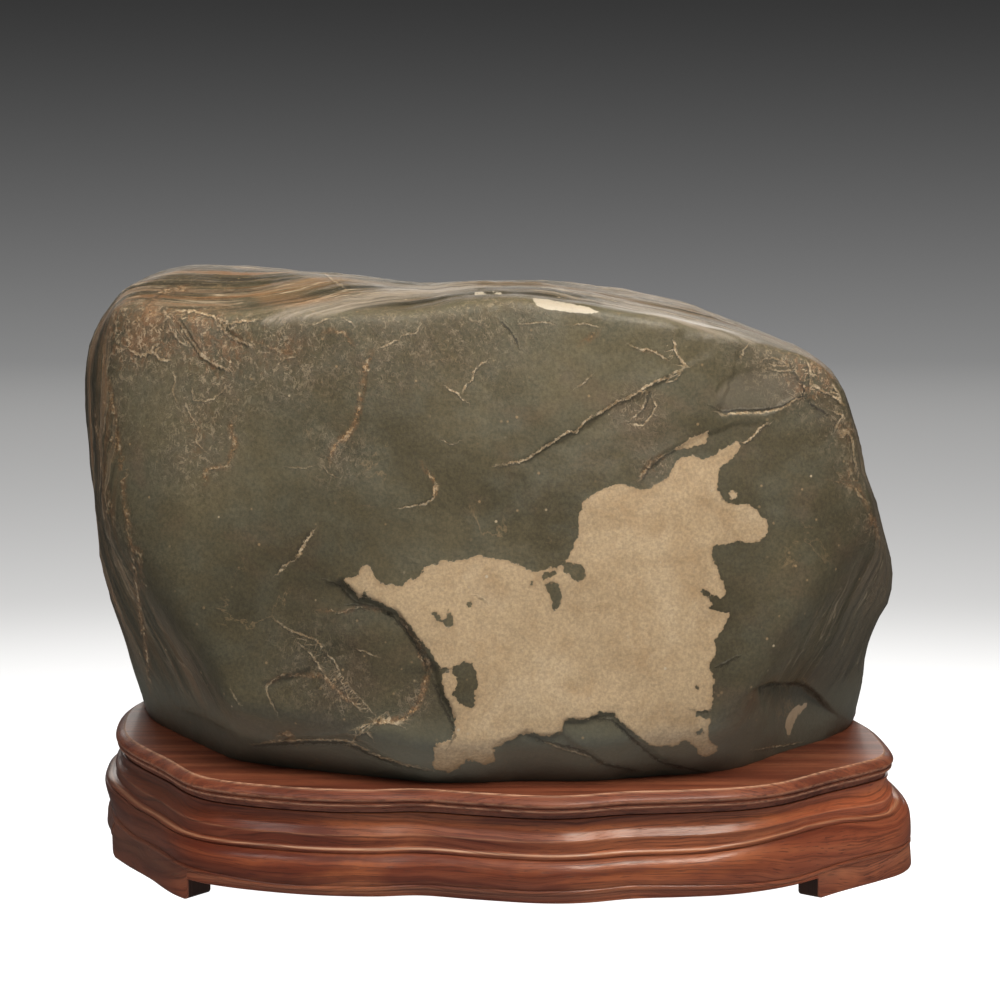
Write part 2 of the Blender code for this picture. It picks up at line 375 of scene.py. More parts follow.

# where a sheen is painted on the stone as pale bands, and where it is worn smooth and tan
paintedSheenBands = (
    ((262, 321), (290, 308), (330, 299), (380, 291), (430, 284), (476, 281), (476, 289), (430, 296),
     (380, 304), (340, 312), (300, 320), (270, 324)),
    ((600, 299), (640, 306), (700, 322), (760, 342), (752, 344), (700, 329), (640, 313), (604, 306)),
)
tanPlaces = (
    ((127, 344), (126, 328), (136, 314), (154, 308), (163, 318), (160, 334), (150, 348), (138, 352)),
    ((252, 292), (300, 296), (340, 299), (300, 306), (262, 304)),
)

# veins in the front view: half width in steps, strength and the line; a tan vein's painted shadow lies below
# a line that runs right
tanVeins = (
    (1.5, 1.0, ((496, 466), (509, 463), (523, 461), (533, 455), (542, 448), (551, 443), (561, 436),
                (570, 431), (576, 432), (582, 424), (591, 417), (599, 413), (607, 408), (616, 402),
                (628, 398), (636, 393), (647, 386), (660, 380), (669, 377), (675, 372), (683, 368),
                (687, 367))),
    (1.4, 0.9, ((674, 337), (675, 349), (679, 357), (683, 363), (687, 367))),
    (1.2, 0.8, ((666, 383), (675, 380), (681, 373))),
    (1.4, 1.0, ((177, 311), (194, 311), (204, 314), (215, 317), (224, 321), (232, 323), (244, 321),
                (257, 320))),
    (1.7, 1.0, ((219, 325), (226, 333), (234, 338), (242, 341), (251, 345))),
    (1.5, 0.9, ((178, 321), (186, 331), (192, 342), (202, 355), (211, 362), (221, 367), (229, 371))),
    (1.2, 0.7, ((170, 325), (175, 335), (181, 343), (186, 345))),
    (1.6, 0.9, ((131, 350), (142, 356), (150, 352), (156, 344))),
    (1.5, 0.9, ((154, 354), (162, 360), (169, 361))),
    (1.1, 0.6, ((192, 386), (194, 400), (202, 401), (213, 399), (226, 388))),
    (1.0, 0.5, ((170, 368), (176, 380), (172, 392), (178, 404))),
    (1.0, 0.5, ((184, 400), (190, 414), (198, 428), (196, 442), (206, 452))),
    (1.0, 0.5, ((206, 470), (213, 468), (228, 466))),
    (1.1, 0.6, ((312, 325), (320, 322), (328, 319))),
    (1.0, 0.5, ((274, 367), (286, 358), (296, 356))),
    (1.1, 0.6, ((345, 319), (353, 324))),
    (1.1, 0.7, ((324, 273), (334, 281), (341, 285))),
    (1.2, 0.8, ((448, 388), (458, 394), (466, 401))),
    (1.2, 0.8, ((463, 392), (465, 386), (472, 380), (473, 373), (479, 365), (486, 361))),
    (1.0, 0.5, ((444, 441), (452, 445), (460, 441))),
    (1.1, 0.7, ((381, 347), (389, 344), (397, 340))),
    (1.0, 0.5, ((398, 336), (406, 334), (417, 333), (420, 325))),
    (1.0, 0.5, ((576, 388), (582, 384), (592, 375))),
    (1.0, 0.5, ((520, 325), (536, 322), (552, 323))),
    (1.0, 0.5, ((570, 325), (585, 323), (599, 327))),
    (1.2, 0.7, ((632, 346), (641, 349), (651, 350), (658, 354), (667, 359))),
    (1.3, 0.8, ((632, 418), (641, 411), (645, 402), (647, 392))),
    (1.3, 0.8, ((653, 398), (657, 408), (650, 417), (643, 426), (632, 424))),
    (1.4, 0.8, ((802, 398), (795, 400), (788, 405), (779, 409), (765, 412), (751, 413), (733, 413),
                (726, 416), (718, 413))),
    (1.1, 0.6, ((760, 362), (765, 359), (774, 358), (783, 362), (792, 367), (801, 372))),
    (1.1, 0.6, ((772, 369), (783, 371), (794, 371), (801, 376))),
    (1.5, 0.9, ((812, 384), (819, 389), (828, 393), (836, 398), (844, 405))),
    (1.3, 0.8, ((807, 362), (810, 371), (811, 380), (810, 389))),
    (1.3, 0.8, ((833, 384), (837, 391), (842, 400))),
    (1.4, 0.8, ((835, 412), (844, 416), (847, 425), (852, 438), (853, 452), (856, 466))),
    (1.2, 0.6, ((844, 416), (838, 421), (835, 430))),
    (1.2, 0.6, ((741, 358), (744, 350), (748, 345))),
    (1.3, 0.8, ((739, 443), (747, 441), (754, 436), (761, 427), (769, 423))),
    (1.5, 0.7, ((859, 495), (864, 500), (869, 504))),
    (1.9, 0.9, ((313, 532), (305, 543), (297, 556))),
    (1.6, 0.8, ((290, 562), (284, 567), (278, 573))),
    (1.1, 0.6, ((435, 484), (434, 497), (425, 504), (400, 508))),
    (1.2, 0.6, ((275, 620), (290, 630), (306, 636), (318, 641), (326, 652))),
    (1.1, 0.6, ((300, 645), (312, 655), (322, 670), (330, 682))),
    (1.1, 0.5, ((276, 712), (268, 696), (266, 686), (276, 678))),
    (1.1, 0.5, ((232, 692), (236, 700), (240, 704))),
    (1.0, 0.4, ((355, 648), (366, 652), (376, 656))),
    (1.0, 0.5, ((322, 652), (334, 660), (342, 676), (352, 690), (362, 700), (374, 714))),
    (1.2, 0.6, ((370, 728), (378, 718), (388, 712), (392, 722), (402, 726))),
    (1.1, 0.5, ((336, 676), (344, 686), (350, 700), (362, 712))),
    (1.3, 0.7, ((352, 730), (362, 726), (375, 722), (392, 722), (405, 720))),
    (1.2, 0.6, ((350, 745), (356, 736), (366, 731), (372, 738))),
    (1.3, 0.8, ((255, 744), (275, 741), (300, 740), (320, 740), (345, 740), (360, 747), (378, 756),
                (400, 763), (430, 770))),
    (1.0, 0.6, ((755, 750), (770, 747), (786, 745), (800, 742))),
    (1.0, 0.5, ((545, 742), (560, 748), (575, 752), (590, 757))),
    (0.9, 0.4, ((290, 467), (305, 468), (313, 466))),
    (0.9, 0.4, ((324, 467), (328, 473), (336, 477))),
)
rustVeins = (
    (1.7, 0.9, ((372, 352), (366, 364), (363, 380), (361, 398), (358, 414), (354, 425), (346, 437),
                (336, 443), (332, 451), (330, 461))),
    (1.5, 1.0, ((107, 372), (109, 385), (112, 400), (115, 415), (117, 432), (119, 452), (121, 466),
                (123, 490), (126, 515), (131, 545), (136, 580), (141, 620), (146, 650), (150, 690))),
    (1.3, 0.7, ((95, 410), (98, 436), (101, 459), (104, 490), (109, 525))),
    (1.2, 0.5, ((118, 440), (127, 470), (133, 505), (140, 550), (144, 590))),
    (1.6, 1.0, ((428, 672), (424, 688), (419, 704), (408, 716), (392, 721), (370, 722))),
    (1.3, 0.8, ((417, 652), (424, 662), (428, 672))),
    (1.5, 0.9, ((233, 417), (230, 432), (236, 442), (233, 451), (229, 461), (228, 466), (213, 468),
                (205, 471), (206, 484))),
    (2.2, 0.7, ((278, 737), (286, 733), (292, 739))),
    (1.8, 0.7, ((582, 344), (590, 338), (597, 333))),
    (1.4, 0.7, ((423, 465), (432, 478), (437, 484), (434, 497))),
    (2.0, 0.9, ((144, 308), (152, 300), (163, 293), (173, 290), (190, 288))),
    (1.6, 0.8, ((131, 325), (137, 321), (146, 316), (156, 314))),
    (1.6, 0.7, ((130, 326), (129, 340), (133, 351))),
    (1.6, 0.6, ((160, 351), (166, 356), (172, 352))),
    (1.8, 0.6, ((250, 338), (262, 345), (285, 352), (300, 350))),
    (1.3, 0.5, ((376, 585), (388, 588), (395, 594))),
    (1.6, 0.7, ((640, 478), (650, 464), (664, 455))),
    (1.3, 0.6, ((838, 482), (846, 485), (853, 488))),
    (1.4, 0.6, ((848, 455), (853, 475), (860, 490), (866, 505), (874, 522), (880, 545))),
    (1.2, 0.5, ((640, 350), (655, 352), (668, 362))),
    (1.4, 0.6, ((318, 335), (330, 330), (345, 333), (352, 343))),
    (1.2, 0.6, ((268, 684), (280, 676), (300, 675), (318, 676))),
    (1.2, 0.6, ((314, 672), (326, 678), (336, 690), (348, 700), (362, 706))),
    (1.2, 0.5, ((322, 610), (344, 612), (362, 606), (384, 612))),
    (1.3, 0.6, ((402, 622), (414, 637), (424, 652), (432, 668))),
)
# dark lines, most of them along the ledges: the cracks' own dark and painted shade under the steps
cracksAndLedgeShadows = (
    (1.2, 0.9, ((500, 321), (509, 329), (515, 338), (519, 346))),
    (1.2, 0.9, ((713, 407), (719, 411), (726, 412), (733, 410), (751, 410), (765, 409), (779, 407),
                (788, 403), (795, 399), (803, 397), (804, 390), (801, 382), (795, 375))),
    (1.3, 0.8, ((808, 402), (819, 409), (829, 416))),
    (0.9, 0.5, ((180, 318), (186, 328), (194, 340), (202, 352))),
    (1.2, 0.7, ((640, 412), (646, 405), (650, 396))),
    (1.0, 0.6, ((325, 580), (340, 586), (355, 602), (370, 606), (385, 612))),
    (1.5, 0.8, ((380, 610), (392, 616), (404, 628), (414, 642), (422, 656), (430, 674))),
    (1.1, 0.6, ((340, 614), (352, 610), (370, 608), (388, 612))),
    (1.4, 0.7, ((433, 680), (440, 700), (452, 722), (455, 735), (448, 746))),
    (1.3, 0.6, ((530, 735), (545, 742), (570, 747), (585, 752), (604, 764), (640, 771))),
    (1.3, 0.7, ((590, 718), (612, 720), (626, 732), (645, 750), (660, 762), (690, 769), (710, 773))),
    (1.1, 0.7, ((720, 666), (728, 662), (736, 657))),
    (1.6, 0.8, ((757, 688), (775, 684), (801, 684), (813, 690), (824, 704))),
    (1.1, 0.6, ((146, 306), (153, 299), (162, 294))),
    (1.1, 0.6, ((255, 746), (300, 743), (345, 743), (362, 751), (400, 767))),
    (1.2, 0.7, ((640, 484), (648, 470), (662, 458), (684, 445))),
    (1.0, 0.6, ((693, 710), (700, 712), (708, 711))),
    (1.0, 0.6, ((362, 596), (364, 593), (366, 597))),
    (1.0, 0.5, ((478, 597), (486, 602))),
)

# places where a rusty, gritty crust covers the stone: view place, spread and strength
crustPlaces = (
    (150, 300, 34, 0.9), (118, 335, 30, 0.9), (100, 420, 26, 0.5), (205, 285, 34, 0.6),
    (205, 415, 30, 0.45), (190, 460, 26, 0.4), (285, 350, 36, 0.6), (215, 350, 24, 0.6),
    (480, 315, 46, 0.45), (380, 345, 30, 0.4), (640, 410, 18, 0.6), (655, 466, 12, 0.7),
    (780, 355, 34, 0.5), (815, 380, 18, 0.9), (845, 430, 16, 0.7), (858, 475, 14, 0.7),
    (875, 525, 14, 0.7), (880, 590, 12, 0.5), (340, 455, 22, 0.4), (310, 660, 34, 0.35),
    (345, 700, 24, 0.4), (415, 700, 12, 0.6), (105, 540, 20, 0.45), (170, 270, 20, 0.7),
)


def unitNormal(azimuth, elevation):
    across, up = radians(azimuth), radians(elevation)
    return np.array([sin(across) * cos(up), -cos(across) * cos(up), sin(up)])


def outlineReach(angle):
    # distance from the rock's middle to its outline at an angle in degrees
    right, up, _ = tiltedAxes()
    offset = rock["middle"] - view["aim"]
    points = smoothOutline(np.array(rock["outline"]) - [offset @ right, offset @ up], 720)
    bearing = np.degrees(np.arctan2(points[:, 1], points[:, 0])) % 360
    order = np.argsort(bearing)
    reach = np.linalg.norm(points, axis=1)
    return np.interp(angle % 360, bearing[order], reach[order], period=360)


def rockBlock(directions):
    # the rounded prism on the tilted outline, cut by flat faces: a high power mean of how near
    # each surface is along a ray from the middle, then bell-shaped lumps
    right, up, away = tiltedAxes()
    across, rise, depth = directions @ right, directions @ up, directions @ away
    reach = outlineReach(np.degrees(np.arctan2(rise, across)))
    rim = np.hypot(across, rise) / reach * (1 - rock["frontTaper"] * depth)
    deep = np.where(depth < 0, -depth / rock["reachFront"], depth / rock["reachBack"])
    roundness, sharpness = rock["outlineRoundness"], rock["edgeSharpness"]
    nearness = (rim ** roundness + deep ** roundness) ** (sharpness / roundness)
    for azimuth, elevation, point in rock["faces"]:
        normal = unitNormal(azimuth, elevation)
        distance = normal @ (np.array(point) - rock["middle"])
        nearness = nearness + np.maximum(0, directions @ normal / distance) ** sharpness
    radius = nearness ** (-1 / sharpness)
    points = rock["middle"] + directions * radius[:, None]
    for centre, spread, height in rock["lumps"]:
        apart = np.sum((points - np.array(centre)) ** 2, axis=1)
        radius = radius + height * np.exp(-apart / (2 * spread ** 2))
    return radius


def ledgeRelief(x, y, wobble):
    # each ledge: a smooth drop across its line, fading with distance and toward its two ends
    total = np.zeros(x.shape)
    for dropped, depth, reach, line in ledges:
        gap, side, along = lineDistance(x, y, line)
        signed = gap * side * dropped + wobble
        drop = smoothStep(-1.5, 2.5, signed) * np.exp(-np.maximum(signed, 0) / reach)
        ends = smoothStep(0, 0.12, along) * smoothStep(1, 0.88, along)
        total -= depth * drop * ends * (gap < reach * 5)
    return total


def stoneLayers(points):
    # the stone is layered from front to back: how far its layers show, which is where the front
    # face ends, and how deep in them a point lies, allowing for the way that they dip
    deep = np.full(len(points), 1e9)
    for azimuth, elevation, place in (rock["faces"][index] for index in rock["frontFaces"]):
        deep = np.minimum(deep, (np.array(place) - points) @ unitNormal(azimuth, elevation))
    layers = smoothStep(3, 16, deep) * (0.35 + 0.65 * smoothStep(120, 200, points[:, 2]))
    leftEnd = smoothStep(180, 193, -points[:, 0])
    layers = np.maximum(layers, 0.9 * leftEnd) * smoothStep(75, 95, points[:, 2])
    dip = 20.0 * np.exp(-((points[:, 0] + 112) / 52) ** 2) - 9.0 * np.exp(-((points[:, 0] + 10) / 60) ** 2)
    return layers, points[:, 1] + dip + 3.0 * layeredNoise(points, 55.0, 2, 91)


def rockSurface(directions):
    # the block with its ledges, broad unevenness and fine unevenness
    radius = rockBlock(directions)
    points = rock["middle"] + directions * radius[:, None]
    x, y = frontView(points)
    _, _, away = tiltedAxes()
    front = smoothStep(0.02, 0.2, -(directions @ away))
    wobble = 3.0 * latticeNoise(points, 9.0, 5)
    radius = radius + front * ledgeRelief(x, y, wobble)
    radius = radius + 1.1 * layeredNoise(points, 42.0, 3, 11) + 0.28 * layeredNoise(points, 9.0, 2, 31)
    layers, depth = stoneLayers(points)
    folds = np.stack([points[:, 0] * 0.11, depth, points[:, 2] * 0.11], 1)
    folding = 0.9 * latticeNoise(folds, 11.0, 101) + 0.45 * latticeNoise(folds, 5.0, 103)
    radius = radius + layers * (folding - 0.65)
    return rock["middle"] + directions * radius[:, None]


def rockDirections():
    # rays through a box round the rock: rows run from the left pole to the right pole,
    # columns go round the long axis, closest together on the front
    inner = np.linspace(-rock["halfLength"], rock["halfLength"], rock["rows"])
    slope = np.arctan2(rock["poleReach"], -inner)[::-1]
    poleA = np.linspace(0, slope.min(), rock["endRows"] + 1)[1:-1]
    poleB = np.linspace(slope.max(), np.pi, rock["endRows"] + 1)[1:-1]
    angle = np.concatenate([poleA, np.sort(slope), poleB])
    front, top, back, bottom = (rock["box"][side] for side in ("front", "top", "back", "bottom"))
    corners = np.array([(front, bottom), (front, top), (back, top), (back, bottom), (front, bottom)])
    counts = (rock["raysUp"], rock["raysOver"], rock["raysDown"], rock["raysUnder"])
    box = np.concatenate([np.linspace(start, stop, count, endpoint=False)
                          for start, stop, count in zip(corners[:-1], corners[1:], counts)])
    turn = np.arctan2(box[:, 1], box[:, 0])
    columns = len(turn)
    ring = np.stack([np.zeros(columns), np.cos(turn), np.sin(turn)], 1)
    along = np.cos(angle)[:, None, None] * np.array([-1.0, 0, 0])
    directions = (along + np.sin(angle)[:, None, None] * ring[None]).reshape(-1, 3)
    return np.vstack([[-1.0, 0, 0], directions, [1.0, 0, 0]]), len(angle), columns


def rockMarks(points, directions):
    # how far each point lies inside the patch and the chips, one of them a painted highlight, and how
    # strongly it is veined or crusted
    x, y = frontView(points)
    _, _, away = tiltedAxes()
    front = smoothStep(-0.12, 0.05, -(directions @ away))
    patch = outlineDistance(x, y, patchOutline)
    for outline in patchOutliers:
        patch = np.maximum(patch, outlineDistance(x, y, outline))
    for outline in patchIslands:
        patch = np.minimum(patch, -outlineDistance(x, y, outline))
    patch = np.where(front > 0.5, patch, -20)
    chipsAndLitFacet = np.full(x.shape, -20.0)
    for outline in paleChipsAndLitFacet:
        chipsAndLitFacet = np.maximum(chipsAndLitFacet, outlineDistance(x, y, outline))
    chipsAndLitFacet = np.where(front > 0.5, chipsAndLitFacet, -20)

    def veins(name, lines):
        # signed distance to the nearest vein in half widths, and how strong the vein is there
        nearest = np.full(x.shape, 1e9)
        signed = np.full(x.shape, 8.0)
        fade = np.zeros(x.shape)
        for width, strength, line in lines:
            gap, side, along = lineDistance(x, y, line)
            ends = 0.45 + 0.55 * smoothStep(0, 0.12, along) * smoothStep(1, 0.88, along)
            nearer = gap / width < nearest
            nearest = np.where(nearer, gap / width, nearest)
            signed = np.where(nearer, gap / width * side, signed)
            fade = np.where(nearer, strength * ends * smoothStep(8.0, 4.5, gap), fade)
        return {name + "Line": np.clip(signed, -8, 8), name + "Fade": fade * front}

    crust = np.zeros(x.shape)
    for placeX, placeY, spread, strength in crustPlaces:
        crust += strength * np.exp(-((x - placeX) ** 2 + (y - placeY) ** 2) / (2 * spread ** 2))
    behind = np.clip(layeredNoise(points, 70.0, 3, 71) * 0.8, 0, 0.6)
    layers, depth = stoneLayers(points)
    crust = (np.clip(crust, 0, 1) * front + behind * (1 - front)) * (1 - 0.65 * layers)
    warmth = smoothStep(-30, -130, points[:, 0]) * smoothStep(60, -40, points[:, 1])
    warmth = np.maximum(warmth, 0.45 * np.clip(layeredNoise(points, 90.0, 2, 83) + 0.3, 0, 1))
    scar = np.clip(outlineDistance(x, y, flakeScar) / 4, 0, 1) * front

    def softly(outlines, softness):
        nearest = np.max([outlineDistance(x, y, outline) for outline in outlines], axis=0)
        return smoothStep(-softness, softness, nearest) * front

    return {
        "patch": np.clip(patch, -20, 20),
        "chipsAndLitFacet": np.clip(chipsAndLitFacet, -20, 20),
        **veins("tan", tanVeins),
        **veins("rust", rustVeins),
        **veins("dark", cracksAndLedgeShadows),
        "crust": crust,
        "layers": layers,
        "layerDepth": depth * millimetre,
        "warmth": warmth * layers,
        "scar": scar,
        "paintedSheenBand": softly(paintedSheenBands, 4.0),
        "tanPlace": softly(tanPlaces, 5.0),
    }


# node helpers
def newMaterial(name):
    material = bpy.data.materials.new(name)
    material.use_nodes = True
    return material, material.node_tree, material.node_tree.nodes["Principled BSDF"]


def addNode(tree, kind, settings=None, inputs=None):
    node = tree.nodes.new(kind)
    for key, value in (settings or {}).items():
        setattr(node, key, value)
    for key, value in (inputs or {}).items():
        if isinstance(value, bpy.types.NodeSocket):
            tree.links.new(value, node.inputs[key])
        else:
            node.inputs[key].default_value = value
    return node


def calculate(tree, operation, first, second=0.0):
    return addNode(tree, "ShaderNodeMath", {"operation": operation}, {0: first, 1: second}).outputs[0]


def ramp(tree, value, low, high, toLow=0.0, toHigh=1.0):
    return addNode(tree, "ShaderNodeMapRange", {"interpolation_type": "SMOOTHSTEP"},
                   {0: value, 1: low, 2: high, 3: toLow, 4: toHigh}).outputs[0]


def blend(tree, amount, first, second, kind="MIX"):
    node = tree.nodes.new("ShaderNodeMix")
    node.data_type = "RGBA"
    node.blend_type = kind
    for key, value in ((0, amount), (6, first), (7, second)):
        if isinstance(value, bpy.types.NodeSocket):
            tree.links.new(value, node.inputs[key])
        else:
            node.inputs[key].default_value = (*value, 1.0) if key else value
    return node.outputs[2]


def noise(tree, place, scale, detail=4.0, roughness=0.55, distortion=0.0):
    return addNode(tree, "ShaderNodeTexNoise", None,
                   {"Vector": place, "Scale": scale, "Detail": detail, "Roughness": roughness,
                    "Distortion": distortion}).outputs["Fac"]


def stretched(tree, place, scale, turn=(0, 0, 0)):
    return addNode(tree, "ShaderNodeMapping", None,
                   {"Vector": place, "Scale": scale, "Rotation": tuple(radians(a) for a in turn)}).outputs[0]


def mark(tree, name):
    return addNode(tree, "ShaderNodeAttribute", {"attribute_name": name}).outputs["Fac"]


def level(tree, value, centre, width):
    # a thin line where a value passes a level
    apart = calculate(tree, "ABSOLUTE", calculate(tree, "SUBTRACT", value, centre))
    return ramp(tree, apart, 0.0, width, 1.0, 0.0)


def times(tree, *values):
    product = values[0]
    for value in values[1:]:
        product = calculate(tree, "MULTIPLY", product, value)
    return product


def addUp(tree, first, *others):
    for other in others:
        first = calculate(tree, "ADD", first, other)
    return first


def specks(tree, place, scale, size, share):
    # round specks in a share of the cells of a cell pattern
    cells = addNode(tree, "ShaderNodeTexVoronoi", {"feature": "F1"}, {"Vector": place, "Scale": scale})
    chosen = ramp(tree, cells.outputs["Color"], 1 - share - 0.06, 1 - share, 0.0, 1.0)
    return times(tree, ramp(tree, cells.outputs["Distance"], size * 0.5, size, 1.0, 0.0), chosen)


def coats(tree, base, palette, rows):
    # coats of colour, one over the other: the name of each colour and the amounts that its
    # strength is the product of
    for colour, *amounts in rows:
        base = blend(tree, times(tree, *amounts), base, palette[colour])
    return base


# the rock's stone
stone = {
    "dark": (0.041, 0.0345, 0.0192),
    "light": (0.074, 0.062, 0.035),
    "green": (0.058, 0.055, 0.036),
    "brown": (0.080, 0.055, 0.034),
    # low: a paler grey green near the foot, painted fill light; the next two: painted shade low on the front
    # and painted light high on it, as factors
    "low": (0.150, 0.152, 0.116),
    "paintedShadeLow": (0.86, 0.85, 0.86),
    "paintedLightHigh": (1.20, 1.19, 1.22),
    "paintedSheen": (0.240, 0.205, 0.158),
    "grit": (0.118, 0.060, 0.026),
    "hollowTan": (0.225, 0.120, 0.052),
    # near black: dark streaks and grit in the stone, and painted shadow beside the veins and under the ledges
    "nearBlackAndShadow": (0.018, 0.015, 0.010),
    "patch": (0.268, 0.194, 0.115),
    "patchWarm": (0.215, 0.142, 0.075),
    "patchPale": (0.325, 0.250, 0.162),
    "tan": (0.235, 0.158, 0.082),
    "pale": (0.42, 0.33, 0.215),
    "rust": (0.160, 0.076, 0.030),
    "rustPale": (0.26, 0.145, 0.058),
    "layerGrey": (0.118, 0.100, 0.072),
    "layerTan": (0.172, 0.113, 0.062),
    "chip": (0.31, 0.265, 0.195),
    "grainDark": (0.74, 0.74, 0.74),
    "grainPale": (1.28, 1.27, 1.22),
    "speckScale": 300.0,
}


def stonePatterns(tree):
    # the patterns and marks that several of the stone's colours share
    place = addNode(tree, "ShaderNodeTexCoord").outputs["Object"]
    parts = addNode(tree, "ShaderNodeSeparateXYZ", None, {0: place}).outputs
    bent = addNode(tree, "ShaderNodeCombineXYZ", None,
                   {0: parts[0], 1: mark(tree, "layerDepth"), 2: parts[2]}).outputs[0]
    grain = noise(tree, place, 640.0, 4.0, 0.7)
    netA = noise(tree, stretched(tree, place, (120.0, 120.0, 85.0)), 1.0, 6.0, 0.64, 0.9)
    netB = noise(tree, stretched(tree, place, (290.0, 290.0, 210.0), (0, 25, 0)), 1.0, 4.0, 0.6, 0.8)
    fineNet = times(tree, level(tree, netB, 0.5, 0.045), 0.9)
    return {
        "place": place,
        "rise": parts[2],
        "layers": mark(tree, "layers"),
        "crust": mark(tree, "crust"),
        "shade": blend(tree, ramp(tree, grain, 0.28, 0.72), stone["grainDark"], stone["grainPale"]),
        "cloud": noise(tree, stretched(tree, place, (34.0, 40.0, 52.0)), 1.0, 5.0, 0.62, 0.4),
        "tint": noise(tree, stretched(tree, place, (17.0, 17.0, 22.0)), 1.0, 4.0, 0.6, 0.5),
        "wide": noise(tree, stretched(tree, bent, (3.5, 66.0, 5.0)), 1.0, 5.0, 0.62, 0.3),
        "narrow": noise(tree, stretched(tree, bent, (11.0, 330.0, 14.0)), 1.0, 5.0, 0.68, 0.3),
        "grit": noise(tree, place, 230.0, 5.0, 0.72, 0.8),
        "netA": netA,
        "netB": netB,
        "net": calculate(tree, "MAXIMUM", level(tree, netA, 0.5, 0.026), fineNet),
        "sway": ramp(tree, noise(tree, place, 420.0, 5.0, 0.7), 0.25, 0.75, -1.1, 1.1),
        "broken": noise(tree, place, 190.0, 5.0, 0.75),
        "flecks": noise(tree, place, 520.0, 4.0, 0.7),
        "wander": ramp(tree, noise(tree, place, 380.0, 5.0, 0.65), 0.25, 0.75, -1.8, 1.8),
    }


def vein(tree, patterns, name, width, low, swing=1.0):
    # a drawn vein of uneven width: strongest on its line, and broken up where a pattern is low
    gap = calculate(tree, "ADD", mark(tree, name + "Line"), times(tree, patterns["sway"], swing))
    gap = calculate(tree, "ABSOLUTE", gap)
    return times(tree, ramp(tree, gap, width * 0.3, width, 1.0, 0.0), mark(tree, name + "Fade"),
                 ramp(tree, patterns["broken"], low, low + 0.14, 0.12, 1.0))


def groundColours(tree, patterns):
    # mottled olive grey with a fine grain
    broad = noise(tree, patterns["place"], 13.0, 4.0, 0.55)
    base = blend(tree, ramp(tree, broad, 0.32, 0.7), stone["dark"], stone["light"])
    base = coats(tree, base, stone, (
        ("green", ramp(tree, patterns["cloud"], 0.40, 0.72, 0.0, 0.7)),
        ("brown", ramp(tree, patterns["tint"], 0.50, 0.72, 0.0, 0.55)),
    ))
    return blend(tree, 1.0, base, patterns["shade"], "MULTIPLY")


def layerColours(tree, patterns, base):
    # layers of the stone seen on edge: long streaks from end to end, rusty toward the upper left
    layers, wide, narrow = patterns["layers"], patterns["wide"], patterns["narrow"]
    warmth = mark(tree, "warmth")
    fade = ramp(tree, narrow, 0.40, 0.58, 0.35, 1.0)
    return coats(tree, base, stone, (
        ("layerGrey", mark(tree, "scar"), 0.35),
        ("layerGrey", layers, ramp(tree, wide, 0.49, 0.58, 0.0, 0.85)),
        ("layerTan", warmth, ramp(tree, wide, 0.49, 0.54), 0.8),
        ("rust", warmth, ramp(tree, narrow, 0.51, 0.57), 0.8),
        ("dark", layers, ramp(tree, wide, 0.49, 0.43, 0.0, 0.9)),
        ("nearBlackAndShadow", layers, ramp(tree, narrow, 0.48, 0.40, 0.0, 0.9)),
        ("tan", layers, level(tree, narrow, 0.53, 0.012), 0.8),
        ("pale", layers, level(tree, wide, 0.515, 0.008), 0.8),
        # painted sheen: pale bands where the top catches the light
        ("paintedSheen", mark(tree, "paintedSheenBand"), fade, 0.7),
        ("hollowTan", mark(tree, "tanPlace"), fade, 0.55),
    ))


def crustColours(tree, patterns, base):
    # a worn crust: brown ground, rusty grit and a net of fine fibres
    place, crust, grit = patterns["place"], patterns["crust"], patterns["grit"]
    ground = ramp(tree, noise(tree, place, 60.0, 5.0, 0.65), 0.40, 0.62)
    gritty = ramp(tree, calculate(tree, "ADD", crust, grit), 1.0, 1.4)
    gaps = ramp(tree, noise(tree, place, 330.0, 4.0, 0.65), 0.45, 0.58, 0.12, 1.0)
    base = coats(tree, base, stone, (
        ("brown", crust, ground, 0.5),
        ("grit", gritty, ramp(tree, grit, 0.46, 0.6), 0.65),
        ("nearBlackAndShadow", crust, ramp(tree, grit, 0.44, 0.34), 0.55),
    ))
    netColour = blend(tree, ramp(tree, gaps, 0.6, 1.0, 0.0, 0.6), stone["tan"], stone["pale"])
    return blend(tree, times(tree, crust, patterns["net"], gaps, 0.72), base, netColour)


def paintedHeightLight(tree, patterns, base):
    # paler and greener near the foot: painted fill light on the undercut; darker low on the front and paler
    # high on it: painted shade below and painted light from above
    rise, layers = patterns["rise"], patterns["layers"]
    low = ramp(tree, rise, 0.060, 0.104, 0.72, 0.0)
    base = coats(tree, base, stone, (("low", low, ramp(tree, layers, 0.1, 0.9, 1.0, 0.15)),))
    high = times(tree, ramp(tree, rise, 0.10, 0.25), ramp(tree, layers, 0.0, 1.0, 1.0, 0.2))
    return blend(tree, 1.0, base, blend(tree, high, stone["paintedShadeLow"], stone["paintedLightHigh"]), "MULTIPLY")


